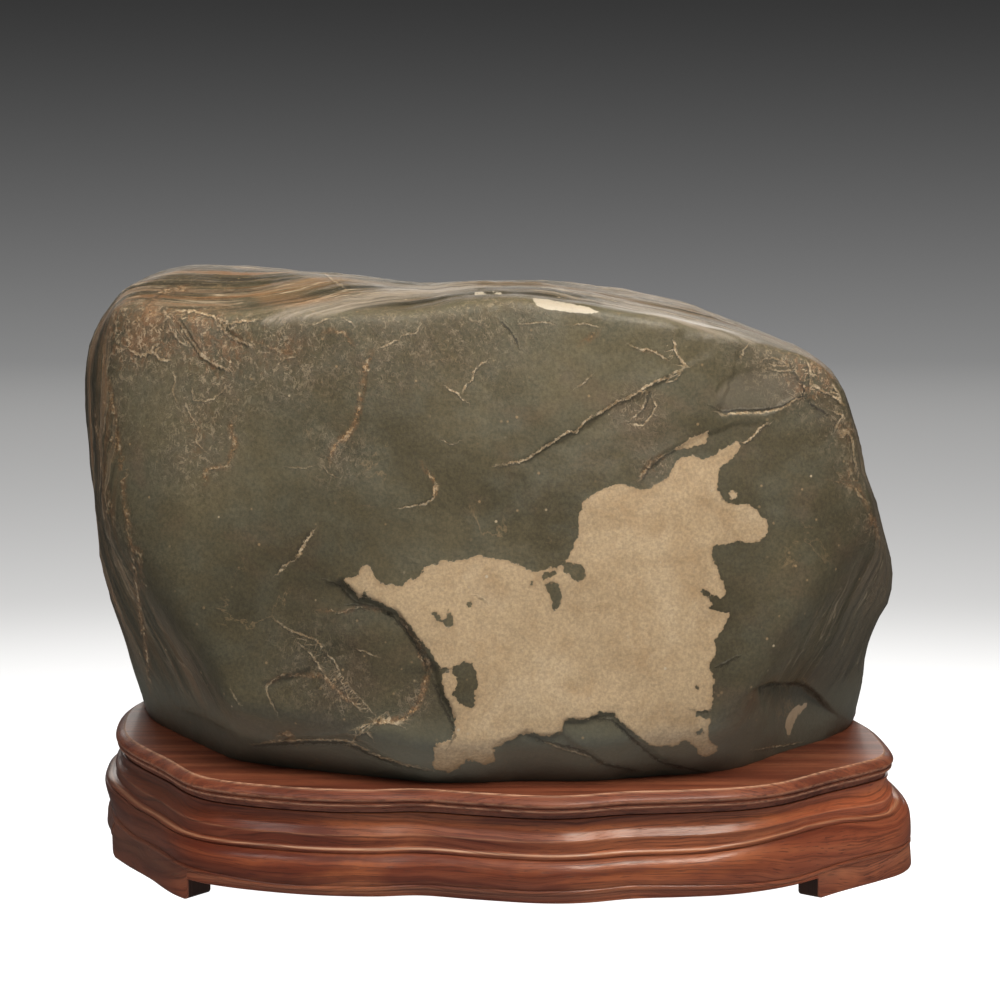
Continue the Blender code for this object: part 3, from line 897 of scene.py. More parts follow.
def veinColours(tree, patterns, base):
    # loose fine veins and specks all over, a painted shadow beside each tan vein, then the drawn veins: rust,
    # cracks with painted shade, and tan
    place, tint, flecks = patterns["place"], patterns["tint"], patterns["flecks"]
    hairs = noise(tree, stretched(tree, place, (11.0, 16.0, 13.0)), 1.0, 7.0, 0.62, 0.8)
    sparse = ramp(tree, noise(tree, place, 24.0, 3.0), 0.53, 0.64)
    side = calculate(tree, "ADD", mark(tree, "tanLine"), patterns["sway"])
    shadowSide = ramp(tree, side, 2.6, 1.3, 0.0, 1.0)
    halo = ramp(tree, calculate(tree, "ABSOLUTE", mark(tree, "rustLine")), 0.0, 3.6, 1.0, 0.0)
    wideRust = vein(tree, patterns, "rust", 2.6, 0.36, 1.7)
    base = coats(tree, base, stone, (
        ("tan", level(tree, hairs, 0.5, 0.006), sparse, 0.4),
        ("tan", specks(tree, place, stone["speckScale"], 0.26, 0.13),
         ramp(tree, tint, 0.35, 0.6, 0.25, 0.75)),
        ("pale", specks(tree, place, 170.0, 0.14, 0.10), 0.7),
        # painted shadow on the lower side of each tan vein
        ("nearBlackAndShadow", ramp(tree, side, 0.3, 1.0), shadowSide, mark(tree, "tanFade"), 0.6),
        ("rust", halo, mark(tree, "rustFade"), ramp(tree, patterns["grit"], 0.42, 0.6), 0.6),
        ("nearBlackAndShadow", wideRust, ramp(tree, flecks, 0.54, 0.44), 0.6),
    ))
    rustColour = blend(tree, ramp(tree, flecks, 0.47, 0.60), stone["rustPale"], stone["pale"])
    rustColour = blend(tree, ramp(tree, flecks, 0.46, 0.38, 0.0, 0.9), rustColour, stone["nearBlackAndShadow"])
    base = blend(tree, times(tree, vein(tree, patterns, "rust", 1.2, 0.44, 1.7), 0.8), base, rustColour)
    # the dark lines: cracks and painted shade under the ledges
    base = coats(tree, base, stone, (("nearBlackAndShadow", vein(tree, patterns, "dark", 1.1, 0.20), 0.9),))
    tanColour = blend(tree, ramp(tree, flecks, 0.46, 0.58), stone["tan"], stone["pale"])
    return blend(tree, times(tree, vein(tree, patterns, "tan", 1.1, 0.37), 0.95), base, tanColour)


def patchColours(tree, patterns, edge):
    # the pale patch: mottled, grained, with squiggles, specks, cracks and a warmer rim
    place, broken = patterns["place"], patterns["broken"]
    mottle = ramp(tree, noise(tree, place, 62.0, 6.0, 0.66, 0.6), 0.42, 0.74, 0.0, 0.85)
    bloom = ramp(tree, noise(tree, place, 30.0, 5.0, 0.6, 0.4), 0.5, 0.72, 0.0, 0.6)
    colour = coats(tree, stone["patch"], stone, (("patchWarm", mottle), ("patchPale", bloom)))
    colour = blend(tree, 0.8, colour, patterns["shade"], "MULTIPLY")
    return coats(tree, colour, stone, (
        ("chip", level(tree, patterns["netB"], 0.40, 0.016), ramp(tree, broken, 0.56, 0.64), 0.6),
        ("chip", specks(tree, place, 230.0, 0.22, 0.08), 0.8),
        ("rust", specks(tree, place, 190.0, 0.20, 0.05), 0.6),
        ("tan", level(tree, patterns["netA"], 0.44, 0.012), bloom, 0.6),
        # the dark lines in the patch: cracks and painted shade under the ledges
        ("nearBlackAndShadow", vein(tree, patterns, "dark", 1.6, 0.2), 0.8),
        ("patchWarm", ramp(tree, edge, 0.0, 3.4, 1.0, 0.0), ramp(tree, broken, 0.40, 0.56), 0.8),
    ))


def chipAndLitFacetColours(tree, patterns, base):
    # pale chips high up; low down, the crescent facet at the lower right is a painted highlight in the
    # patch's pale colour
    edge = calculate(tree, "ADD", mark(tree, "chipsAndLitFacet"), times(tree, patterns["wander"], 0.3))
    colour = blend(tree, ramp(tree, patterns["rise"], 0.09, 0.12), stone["patchPale"], stone["chip"])
    wearAndPaintedHighlight = ramp(tree, patterns["broken"], 0.30, 0.48, 0.6, 1.0)
    return blend(tree, times(tree, ramp(tree, edge, -0.4, 0.4), wearAndPaintedHighlight), base, colour)


def stoneMaterial():
    material, tree, shader = newMaterial("handled river stone")
    patterns = stonePatterns(tree)
    place, layers, crust = patterns["place"], patterns["layers"], patterns["crust"]
    base = groundColours(tree, patterns)
    for colours in (layerColours, crustColours, paintedHeightLight, veinColours):
        base = colours(tree, patterns, base)
    edge = calculate(tree, "ADD", mark(tree, "patch"), patterns["wander"])
    inPatch = ramp(tree, edge, -0.4, 0.4)
    base = blend(tree, inPatch, base, patchColours(tree, patterns, edge))
    base = chipAndLitFacetColours(tree, patterns, base)
    tree.links.new(base, shader.inputs["Base Color"])
    gloss = addUp(tree, ramp(tree, patterns["cloud"], 0.3, 0.75, 0.36, 0.48), times(tree, inPatch, 0.18),
                  times(tree, crust, 0.16), times(tree, layers, 0.05))
    tree.links.new(gloss, shader.inputs["Roughness"])
    shader.inputs["Specular IOR Level"].default_value = 0.5
    # pits, swellings, the crust's net, cracks, raised veins and the layers' edges
    pits = noise(tree, place, 380.0, 5.0, 0.7)
    swell = noise(tree, place, 60.0, 4.0, 0.6)
    height = addUp(tree, times(tree, pits, 0.35), times(tree, swell, 1.2),
                   times(tree, crust, patterns["net"], 0.55),
                   times(tree, vein(tree, patterns, "dark", 2.0, 0.2), -0.8),
                   times(tree, vein(tree, patterns, "tan", 1.1, 0.37), 0.45),
                   times(tree, layers, patterns["narrow"], 2.4), times(tree, inPatch, -0.5))
    bump = addNode(tree, "ShaderNodeBump", None, {"Strength": 0.5, "Distance": 0.0012, "Height": height})
    tree.links.new(bump.outputs[0], shader.inputs["Normal"])
    return material


def makeRock():
    directions, rows, columns = rockDirections()
    points = rockSurface(directions)
    marks = rockMarks(points, directions)
    piece = gridMesh("rockStone", points, rows, columns, marks, stoneMaterial())
    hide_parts("rock")
    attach(piece, "root")
    print("rock made:", len(points), "points")


# the stand's form
stand = {
    # plan of the top board's bead, anticlockwise from the right-hand end
    "outline": (
        (192, -52), (188.5, -18), (180, 8), (174, 34), (166, 60), (150, 81), (131, 93),
        (104, 101), (72, 105), (42, 104), (12, 108), (-22, 112), (-52, 108), (-84, 106), (-118, 102),
        (-145, 90), (-165, 70), (-185, 43), (-193.5, 18), (-193.5, -12), (-188.5, -34), (-178, -53),
        (-163, -74), (-147, -98), (-128, -110), (-93, -120), (-62, -123), (-38, -121.5), (-12, -127),
        (16, -132), (36, -131.5), (58, -126), (84, -123.5), (112, -119.5), (134, -111), (156, -94),
        (178, -78), (188, -68),
    ),
    "stations": 880,
    "lean": 0.05,            # the body leans right by this share of its drop below the lean height
    "leanHeight": 36.0,
    "beadTilt": 0.013,       # the lower bead climbs to the right
    "jointHeight": 47.3,
    "boardTop": 59.0,
    "footHeight": 10.5,
    "recess": 12.0,
    "apronInset": 7.0,
    "clearance": 0.35,
    "beadFoot": 14.2,        # where the lower bead starts
    "bendHeight": 19.5,      # where the bead's own climb has died away
    "endLift": (3.2, 1.0),   # how far the mouldings' middle climbs at the right and left ends
    # where along the length each change begins and is complete
    "rightEnd": (95, 178),
    "leftEnd": (-110, -180),
    "leftCorner": (-95, -160),
    "leftTip": (-172, -193),
    # at the right front corner: places along the front, and how far the ridge and the bead climb
    "ridgeRun": ((95, 128, 143, 163, 170, 179, 187, 190, 192),
                 (0, 2.6, 3.4, 2.1, 0.9, -0.6, -0.8, 0.8, 2.6)),
    "beadRun": ((60, 98, 134, 155, 171, 187, 192), (0, -1.8, -4.2, -3.8, -3.9, -4.7, -4.3)),
    # heights, and how far the body stands out more or less there at the right and left ends
    "rightDraw": ((0, 26, 28, 29, 31, 32.6, 38, 42, 46.5), (0, 0, -0.4, -1.2, -3.8, -6.2, -6.2, -2.6, 0)),
    "leftDraw": ((0, 13, 14.8, 17, 21, 25, 28, 30, 31, 32.6, 38, 42, 46.5),
                 (1.4, 0.6, -2.4, -4.2, -3.8, -2.6, -1.6, -1.5, -2.7, -6.0, -5.5, -2.8, 0)),
    # and the same again over the gap between the left feet
    "gapDraw": ((0, 13, 14.8, 19), (-3.0, -3.0, -1.6, 0)),
    "leftRise": 3.5,         # and how far they all climb at the very end
    # heights, and how far the body's lines climb there at the left front corner
    "leftClimb": ((0, 14, 17, 24, 29, 33, 38), (0, 3.4, 3.4, 1.2, -0.6, -1.2, 0)),
    "cornerDraw": 5.0,       # how far back the lower body lies at the right front corner
    "gapFront": 144.0,
    "gapBack": 144.0,
    "gapSide": (-40.0, 30.0),
    "ringMiddle": np.array([0.0, -6.0]),
    # pale lines on arrises and beads, part wear, part painted highlight; painted light on the apron: height,
    # spread and strength
    "boardWearAndHighlights": ((58.8, 0.35, 0.7), (54.9, 0.5, 0.35), (52.2, 0.4, 0.6)),
    "bodyWearAndHighlights": ((37.6, 0.3, 0.4), (31.5, 0.32, 1.0), (15.2, 0.4, 0.3), (11.5, 3.0, 0.16), (0.4, 0.5, 0.15)),
    # heights, and how much painted light brightens the wood's figure there at the right end
    "paintedGlowRun": ((0, 16, 17, 29, 31.5, 33, 42, 47), (0.1, 0.15, 0.2, 0.25, 0.3, 1, 1, 0.7)),
}

# mouldings as runs of smooth curve between arrises: height, how far each place stands out
# at the front and back, and how far at the two ends
boardProfile = (
    ((47.65, -5.4, -3.2), (49.0, -5.3, -3.15), (50.5, -4.8, -2.9)),
    ((50.5, -4.8, -2.9), (50.8, -3.0, -1.9), (51.1, -1.9, -1.3)),
    ((51.1, -1.9, -1.3), (51.6, -0.9, -0.7), (52.3, -0.55, -0.5), (53.0, -0.7, -0.6), (53.7, -1.0, -0.9)),
    ((53.7, -1.0, -0.9), (54.2, -0.5, -0.3), (54.9, 0.0, 0.2), (55.7, -0.25, -0.1), (56.6, -1.0, -0.9),
     (57.6, -2.4, -2.3), (58.4, -3.8, -3.8), (58.85, -4.5, -4.5)),
    ((58.85, -4.5, -4.5), (59.0, -4.75, -4.75)),
)
boardRows = (4, 6, 9, 16, 3)
bodyProfile = (
    ((0.0, 5.9, 7.2), (0.6, 6.4, 7.8), (1.8, 6.6, 8.0)),
    ((1.8, 6.6, 8.0), (8.0, 6.6, 8.0), (14.2, 6.5, 7.9)),
    ((14.2, 6.5, 7.9), (14.8, 7.05, 8.5), (15.7, 7.0, 8.5), (16.4, 6.3, 7.9)),
    ((16.4, 6.3, 7.9), (17.5, 6.75, 8.5), (19.5, 6.8, 8.8), (22.0, 6.4, 8.9), (24.2, 5.6, 8.8),
     (26.0, 4.6, 8.6), (27.4, 3.5, 8.3), (28.4, 2.4, 7.9), (29.0, 1.5, 7.2)),
    ((29.0, 1.5, 7.2), (29.3, 0.8, 6.9)),
    ((29.3, 0.8, 6.9), (30.2, 1.15, 7.4), (31.2, 1.0, 7.3), (32.0, 0.2, 6.9), (32.5, -0.6, 6.5)),
    ((32.5, -0.6, 6.5), (34.8, -0.8, 6.4), (37.2, -0.95, 6.4)),
    ((37.2, -0.95, 6.4), (37.7, -1.0, 6.3), (38.1, -1.3, 5.9)),
    ((38.1, -1.3, 5.9), (39.2, -2.3, 4.3), (40.3, -3.3, 2.4), (41.6, -4.3, 0.4), (43.4, -4.95, -1.2),
     (45.2, -5.0, -2.0), (47.0, -5.0, -2.2)),
    ((47.0, -5.0, -2.2), (47.3, -5.2, -2.6)),
)
bodyRows = (4, 4, 6, 16, 3, 8, 5, 4, 16, 3)


def standOutline(shares):
    # the outline and its outward normals at shares of its length, smoothed over a few millimetres
    fine = 3600
    outline = smoothOutline(stand["outline"], fine, 96)
    offsets = np.arange(-24, 25)
    weights = np.exp(-offsets ** 2 / (2 * 8.0 ** 2))
    smooth = sum(w * np.roll(outline, -o, 0) for o, w in zip(offsets, weights)) / weights.sum()
    run = np.roll(smooth, -2, 0) - np.roll(smooth, 2, 0)
    run /= np.linalg.norm(run, axis=1, keepdims=True)
    normals = np.stack([run[:, 1], -run[:, 0]], 1)

    def at(values):
        wrapped = np.vstack([values, values[:1]])
        return np.stack([np.interp(shares, np.arange(fine + 1) / fine, wrapped[:, a]) for a in (0, 1)], 1)

    return at(smooth), at(normals)


def standShares():
    # evenly spaced stations, with close ones added where the feet end, and the height of the sole
    even = np.arange(stand["stations"]) / stand["stations"]
    fine = np.arange(14400) / 14400
    place, _ = standOutline(fine)
    front = (np.abs(place[:, 0]) < stand["gapFront"]) & (place[:, 1] < 0)
    back = (np.abs(place[:, 0]) < stand["gapBack"]) & (place[:, 1] > 0)
    low, high = stand["gapSide"]
    side = (place[:, 1] > low) & (place[:, 1] < high)
    gap = front | back | side
    ends = fine[gap != np.roll(gap, 1)]
    length = np.linalg.norm(np.roll(place, -1, 0) - place, axis=1).sum()
    near = np.array([-2.8, -2.0, -1.3, -0.7, -0.3, -0.08, 0.08, 0.3, 0.7, 1.3, 2.0, 2.8]) / length
    close = np.abs((even[:, None] - ends + 0.5) % 1 - 0.5).min(1) < 3.4 / length
    shares = np.sort(np.concatenate([even[~close], (ends[:, None] + near).ravel() % 1]))
    inGap = np.interp(shares, fine, gap.astype(float)) > 0.5
    away = np.abs((shares[:, None] - ends + 0.5) % 1 - 0.5).min(1) * length
    rounding = 2.8
    corner = rounding - np.sqrt(np.maximum(0, rounding ** 2 - np.maximum(0, rounding - away) ** 2))
    sole = np.where(inGap, stand["footHeight"], corner)
    return shares, sole


def curveRun(points, rows):
    # one smooth run of a moulding, with its rows closer together at its two ends
    knots = np.array(points, float)
    before = np.vstack([2 * knots[0] - knots[1], knots[:-1]])
    after = np.vstack([knots[1:], 2 * knots[-1] - knots[-2]])
    slope = (after - before) / 2
    share = (1 - np.cos(np.linspace(0, np.pi, rows))) / 2 * (len(knots) - 1)
    start = np.minimum(share.astype(int), len(knots) - 2)
    t = (share - start)[:, None]
    return ((2 * t ** 3 - 3 * t ** 2 + 1) * knots[start] + (t ** 3 - 2 * t ** 2 + t) * slope[start]
            + (3 * t ** 2 - 2 * t ** 3) * knots[start + 1] + (t ** 3 - t ** 2) * slope[start + 1])


def mouldingRows(profile, counts):
    runs = [curveRun(points, rows) for points, rows in zip(profile, counts)]
    return np.vstack([runs[0]] + [run[1:] for run in runs[1:]])


def mouldedRing(outline, normals, height, standout, endStandout):
    # the outline moved outward by the moulding, more at its two ends, and leaning right lower down
    x, y = outline[:, 0], outline[:, 1]
    lean = max(0.0, stand["leanHeight"] - height) * stand["lean"] * (1 + x / 300)
    sideways = np.abs(normals[:, 0]) ** 3
    aside = standout + (endStandout - standout) * sideways
    overGap = smoothStep(-43, -31, y) * smoothStep(42, 27, y)
    leftDraw = np.interp(height, *stand["leftDraw"]) + np.interp(height, *stand["gapDraw"]) * overGap
    rightDraw = np.interp(height, *stand["rightDraw"])
    aside = aside + np.where(normals[:, 0] < 0, leftDraw, rightDraw) * sideways
    # the mouldings climb at the left end
    right, left = stand["endLift"]
    midway = np.exp(-((height - 32) / 8) ** 2) * (height < 47)
    climb = left * smoothStep(*stand["leftEnd"], x) * midway
    climb = climb + np.interp(height, *stand["leftClimb"]) * smoothStep(*stand["leftCorner"], x)
    rising = stand["leftRise"] * np.interp(height, (6, 14, 34, 46), (0, 1, 1, 0))
    climb = climb + rising * smoothStep(*stand["leftTip"], x)
    # the ridge and the bead each go their own way round the right front corner
    front = smoothStep(-40, -56, y)
    ridge = np.interp(x, *stand["ridgeRun"]) * front + right * smoothStep(*stand["rightEnd"], x) * (1 - front)
    climb = climb + ridge * np.interp(height, (17, 29, 33, 46), (0, 1, 1, 0))
    bead = np.interp(x, *stand["beadRun"]) * smoothStep(60, 0, y)
    climb = climb + bead * np.interp(height, (0, 14, 17, 29), (0, 1, 1, 0))
    corner = smoothStep(90, 150, x) * smoothStep(-40, -80, y)
    back = stand["cornerDraw"] * corner * smoothStep(44, 26, height)
    return np.stack([x + normals[:, 0] * aside + lean, y + normals[:, 1] * standout + back,
                     height + climb], 1)


def pocketRows(bearing, rows):
    # the rock's own underside, grown by the clearance, from the board's top down to its lowest place
    elevation = np.radians(np.linspace(-90, -22, 90))[:, None]
    turn = bearing[None, :]
    directions = np.stack([np.cos(elevation) * np.cos(turn), np.cos(elevation) * np.sin(turn),
                           np.sin(elevation) + 0 * turn], -1)
    points = rockSurface(directions.reshape(-1, 3)).reshape(directions.shape)
    across = np.roll(points, -1, 1) - np.roll(points, 1, 1)
    upward = np.gradient(points, axis=0)
    normals = np.cross(across, upward)
    normals /= np.maximum(np.linalg.norm(normals, axis=-1, keepdims=True), 1e-9)
    normals[0] = (0, 0, -1)
    points = points + normals * stand["clearance"]
    heights = points[..., 2]
    above = np.argmax(heights > stand["boardTop"], axis=0)
    columns = np.arange(len(bearing))
    low, high = heights[above - 1, columns], heights[above, columns]
    crossing = above - 1 + (stand["boardTop"] - low) / (high - low)
    share = np.linspace(1, 0, rows + 1)[:-1, None] ** 0.8
    level = crossing[None, :] * share
    start = np.minimum(level.astype(int), len(points) - 2)
    t = (level - start)[..., None]
    pocket = points[start, columns] * (1 - t) + points[start + 1, columns] * t
    return pocket, points[0].mean(0)


def wearAndHighlightRows(heights, edges):
    # how much wear and painted highlights have paled each row: a bell curve of height round each edge
    return sum(strength * np.exp(-((heights - height) / spread) ** 2) for height, spread, strength in edges)


def makeBoard():
    shares = np.arange(stand["stations"]) / stand["stations"]
    outline, normals = standOutline(shares)
    profileRows = mouldingRows(boardProfile, boardRows)
    rings = [mouldedRing(outline, normals, *row) for row in profileRows]
    middle = rock["middle"][:2]
    edge = rings[-1]
    bearing = np.arctan2(edge[:, 1] - middle[1], edge[:, 0] - middle[0])
    pocket, lowest = pocketRows(bearing, 16)
    steps = np.concatenate([[0.006, 0.02], np.linspace(0.06, 0.97, 13), [0.99]])
    top = [edge * (1 - share) + pocket[0] * share for share in steps]
    centre = np.array([middle[0], middle[1], stand["jointHeight"] + stand["clearance"]])
    under = [centre + (rings[0] - centre) * share for share in (0.25, 0.6, 0.9, 0.985)]
    grid = np.array(under + rings + top + list(pocket))
    points = np.vstack([centre, grid.reshape(-1, 3), lowest])
    wearAndPaintedHighlight = np.zeros(len(grid))
    # pale lines on the board's arrises: partly wear, partly painted highlights
    wearAndPaintedHighlight[len(under):len(under) + len(rings)] = wearAndHighlightRows(profileRows[:, 0], stand["boardWearAndHighlights"])
    marks = {"wearAndPaintedHighlight": np.concatenate([[0], np.repeat(wearAndPaintedHighlight, len(shares)), [0]])}
    piece = gridMesh("standTopBoard", points, len(grid), len(shares), marks, boardWood(), 62)
    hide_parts("stand_top")
    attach(piece, "root")
    print("board made:", len(points), "points")


def insetCurve(bearing, outline, middle, inset):
    # the curve that stays a fixed distance inside the outline, one point at each bearing
    tries = np.linspace(0.6, 1.0, 120)
    full = np.interp(bearing, *sortedReach(outline, middle), period=2 * np.pi)
    direction = np.stack([np.cos(bearing), np.sin(bearing)], 1)
    spots = middle + direction[:, None, :] * (full[:, None] * tries)[..., None]
    gap = np.full(spots.shape[:2], 1e9)
    for start in range(0, len(outline), 40):
        part = outline[start:start + 40]
        gap = np.minimum(gap, np.linalg.norm(spots[:, :, None] - part, axis=-1).min(-1))
    best = (gap >= inset) * tries
    reach = full * best.max(1)
    kernel = np.exp(-np.arange(-6, 7) ** 2 / 8.0)
    padded = np.concatenate([reach[-6:], reach, reach[:6]])
    return middle + direction * np.convolve(padded, kernel / kernel.sum(), "valid")[:, None]


def sortedReach(outline, middle):
    offset = outline - middle
    bearing = np.arctan2(offset[:, 1], offset[:, 0]) % (2 * np.pi)
    order = np.argsort(bearing)
    return bearing[order], np.linalg.norm(offset, axis=1)[order]


def makeBase():
    shares, sole = standShares()
    outline, normals = standOutline(shares)
    bend = stand["bendHeight"]
    rings = []
    profileRows = mouldingRows(bodyProfile, bodyRows)
    for row in profileRows:
        ring = mouldedRing(outline, normals, *row)
        height = row[0]
        if height < bend:
            # over the gaps the plain foot of the body closes up, and its bead climbs to the right
            lift = sole * max(0.0, 1 - height / stand["beadFoot"])
            share = min(1.0, height / 12.0) * min(1.0, (bend - height) / 3.0)
            ring[:, 2] += lift + stand["beadTilt"] * outline[:, 0] * share
        rings.append(ring)
    middle = stand["ringMiddle"]
    towards = outline - normals * stand["apronInset"] - middle
    wanted = np.unwrap(np.arctan2(towards[:, 1], towards[:, 0]))
    wanted = np.maximum.accumulate(wanted)
    own = np.unwrap(np.arctan2(outline[:, 1] - middle[1], outline[:, 0] - middle[0]))
    bearing = 0.96 * wanted + 0.04 * own
    inner = insetCurve(bearing % (2 * np.pi), outline[::4], middle, stand["apronInset"])
    lean = stand["leanHeight"] * stand["lean"] * (1 + inner[:, 0] / 300)
    inner = np.stack([inner[:, 0] + lean, inner[:, 1], sole], 1)
    soleRows = [rings[0] * (1 - share) + inner * share for share in (0.97, 0.8, 0.5, 0.2, 0.03)]
    wall = [np.column_stack([inner[:, :2], sole + (stand["recess"] - sole) * share])
            for share in (1.0, 0.97, 0.5, 0.03, 0.0)]
    centre = np.array([middle[0], middle[1], stand["recess"]])
    under = [centre + (wall[0] - centre) * share for share in (0.2, 0.6, 0.93, 0.99)]
    crown = np.array([middle[0], middle[1], stand["jointHeight"]])
    top = [crown + (rings[-1] - crown) * share for share in (0.985, 0.9, 0.5, 0.2)]
    grid = np.array(under + wall + soleRows + rings + top)
    points = np.vstack([centre, grid.reshape(-1, 3), crown])
    # marks for each row of the mouldings, for each station, or for both
    first = len(under) + len(wall) + len(soleRows)
    moulded = slice(first, first + len(rings))
    wearAndPaintedHighlight, paintedGlowing = np.zeros(len(grid)), np.zeros(len(grid))
    # pale lines on arrises and beads: partly wear, partly painted highlights
    wearAndPaintedHighlight[moulded] = wearAndHighlightRows(profileRows[:, 0], stand["bodyWearAndHighlights"])
    # painted light on the figure at the right end, strongest on the cavetto
    paintedGlowing[moulded] = np.interp(profileRows[:, 0], *stand["paintedGlowRun"])
    stations, every = np.ones(len(shares)), np.ones(len(grid))
    flame = smoothStep(105, 165, outline[:, 0]) * smoothStep(20, -40, outline[:, 1])
    # painted highlights on the edges, stronger on the left
    edgeHighlightShare = 1 - 0.5 * smoothStep(0, 90, outline[:, 0])     # stronger on the left
    # painted shade on the underside, the walls and the soles, the feet's end faces among them
    paintedUnderShade = (np.arange(len(grid)) < first).astype(float)
    # painted shade, darker and greyer toward the left
    leftShade = smoothStep(-40, -185, outline[:, 0])
    marks = {name: np.concatenate([[pole], np.outer(rowShare, stationShare).ravel(), [0]])
             for name, pole, rowShare, stationShare in (
                 ("wearAndPaintedHighlight", 0, wearAndPaintedHighlight, edgeHighlightShare), ("paintedUnderShade", 1, paintedUnderShade, stations), ("leftShade", 0, every, leftShade),
                 ("paintedGlow", 0, paintedGlowing, flame), ("flame", 0, every, flame))}
    # the grain runs round the body, from a joint at the middle of the back
    length = np.linalg.norm(np.roll(outline, -1, 0) - outline, axis=1)
    joint = shares[np.argmin(np.abs(outline[:, 0]) + 1000 * (outline[:, 1] < 0))]
    begin = (shares - joint) % 1 * length.sum()
    across = np.linalg.norm(np.diff(grid, axis=0), axis=-1).mean(1)
    grain = (begin * millimetre, (begin + length) * millimetre,
             np.concatenate([[0], np.cumsum(across)]) * millimetre)
    piece = gridMesh("standMouldedBase", points, len(grid), len(shares), marks, baseWood(), 50, grain)
    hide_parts("stand_base")
    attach(piece, "root")
    print("base made:", len(points), "points")


# the stand's rosewood
wood = {
    "deep": (0.072, 0.0165, 0.0085),
    "mid": (0.138, 0.038, 0.0185),
    "light": (0.200, 0.067, 0.031),
    "warm": (0.56, 0.185, 0.060),
    "streak": (0.032, 0.010, 0.007),
    # pale lines on arrises and beads: partly wear, partly painted highlights
    "wearAndPaintedHighlight": (0.50, 0.30, 0.185),
    # painted shade toward the left: a greyer dark, and a darkening tint
    "leftShade": (0.055, 0.036, 0.027),
    "leftShadeTint": (0.86, 0.70, 0.62),
    # painted light on the figure at the right end, as a factor
    "paintedFlameLight": (2.1, 1.95, 1.7),
    # painted shade under the stand
    "paintedUnderShade": (0.010, 0.006, 0.0045),
    "boardShade": (1.0, 0.99, 0.99),
    "boardRoughness": 0.42,
    "baseRoughness": 0.31,
    # waves that bend the grain: their scale along it and across it, and how far they carry it
    "boardWaves": ((5.0, 9.0, (0.0, 0.007, 0.004)),),
    "baseWaves": ((6.0, 16.0, (0.020, 0.034, 0.0)), (24.0, 46.0, (0.004, 0.0075, 0.0))),
}


def grainNoise(tree, place, along, across, detail, roughness, distortion=0.0):
    # noise drawn out along the grain
    return noise(tree, stretched(tree, place, (along, across, across)), 1.0, detail, roughness, distortion)


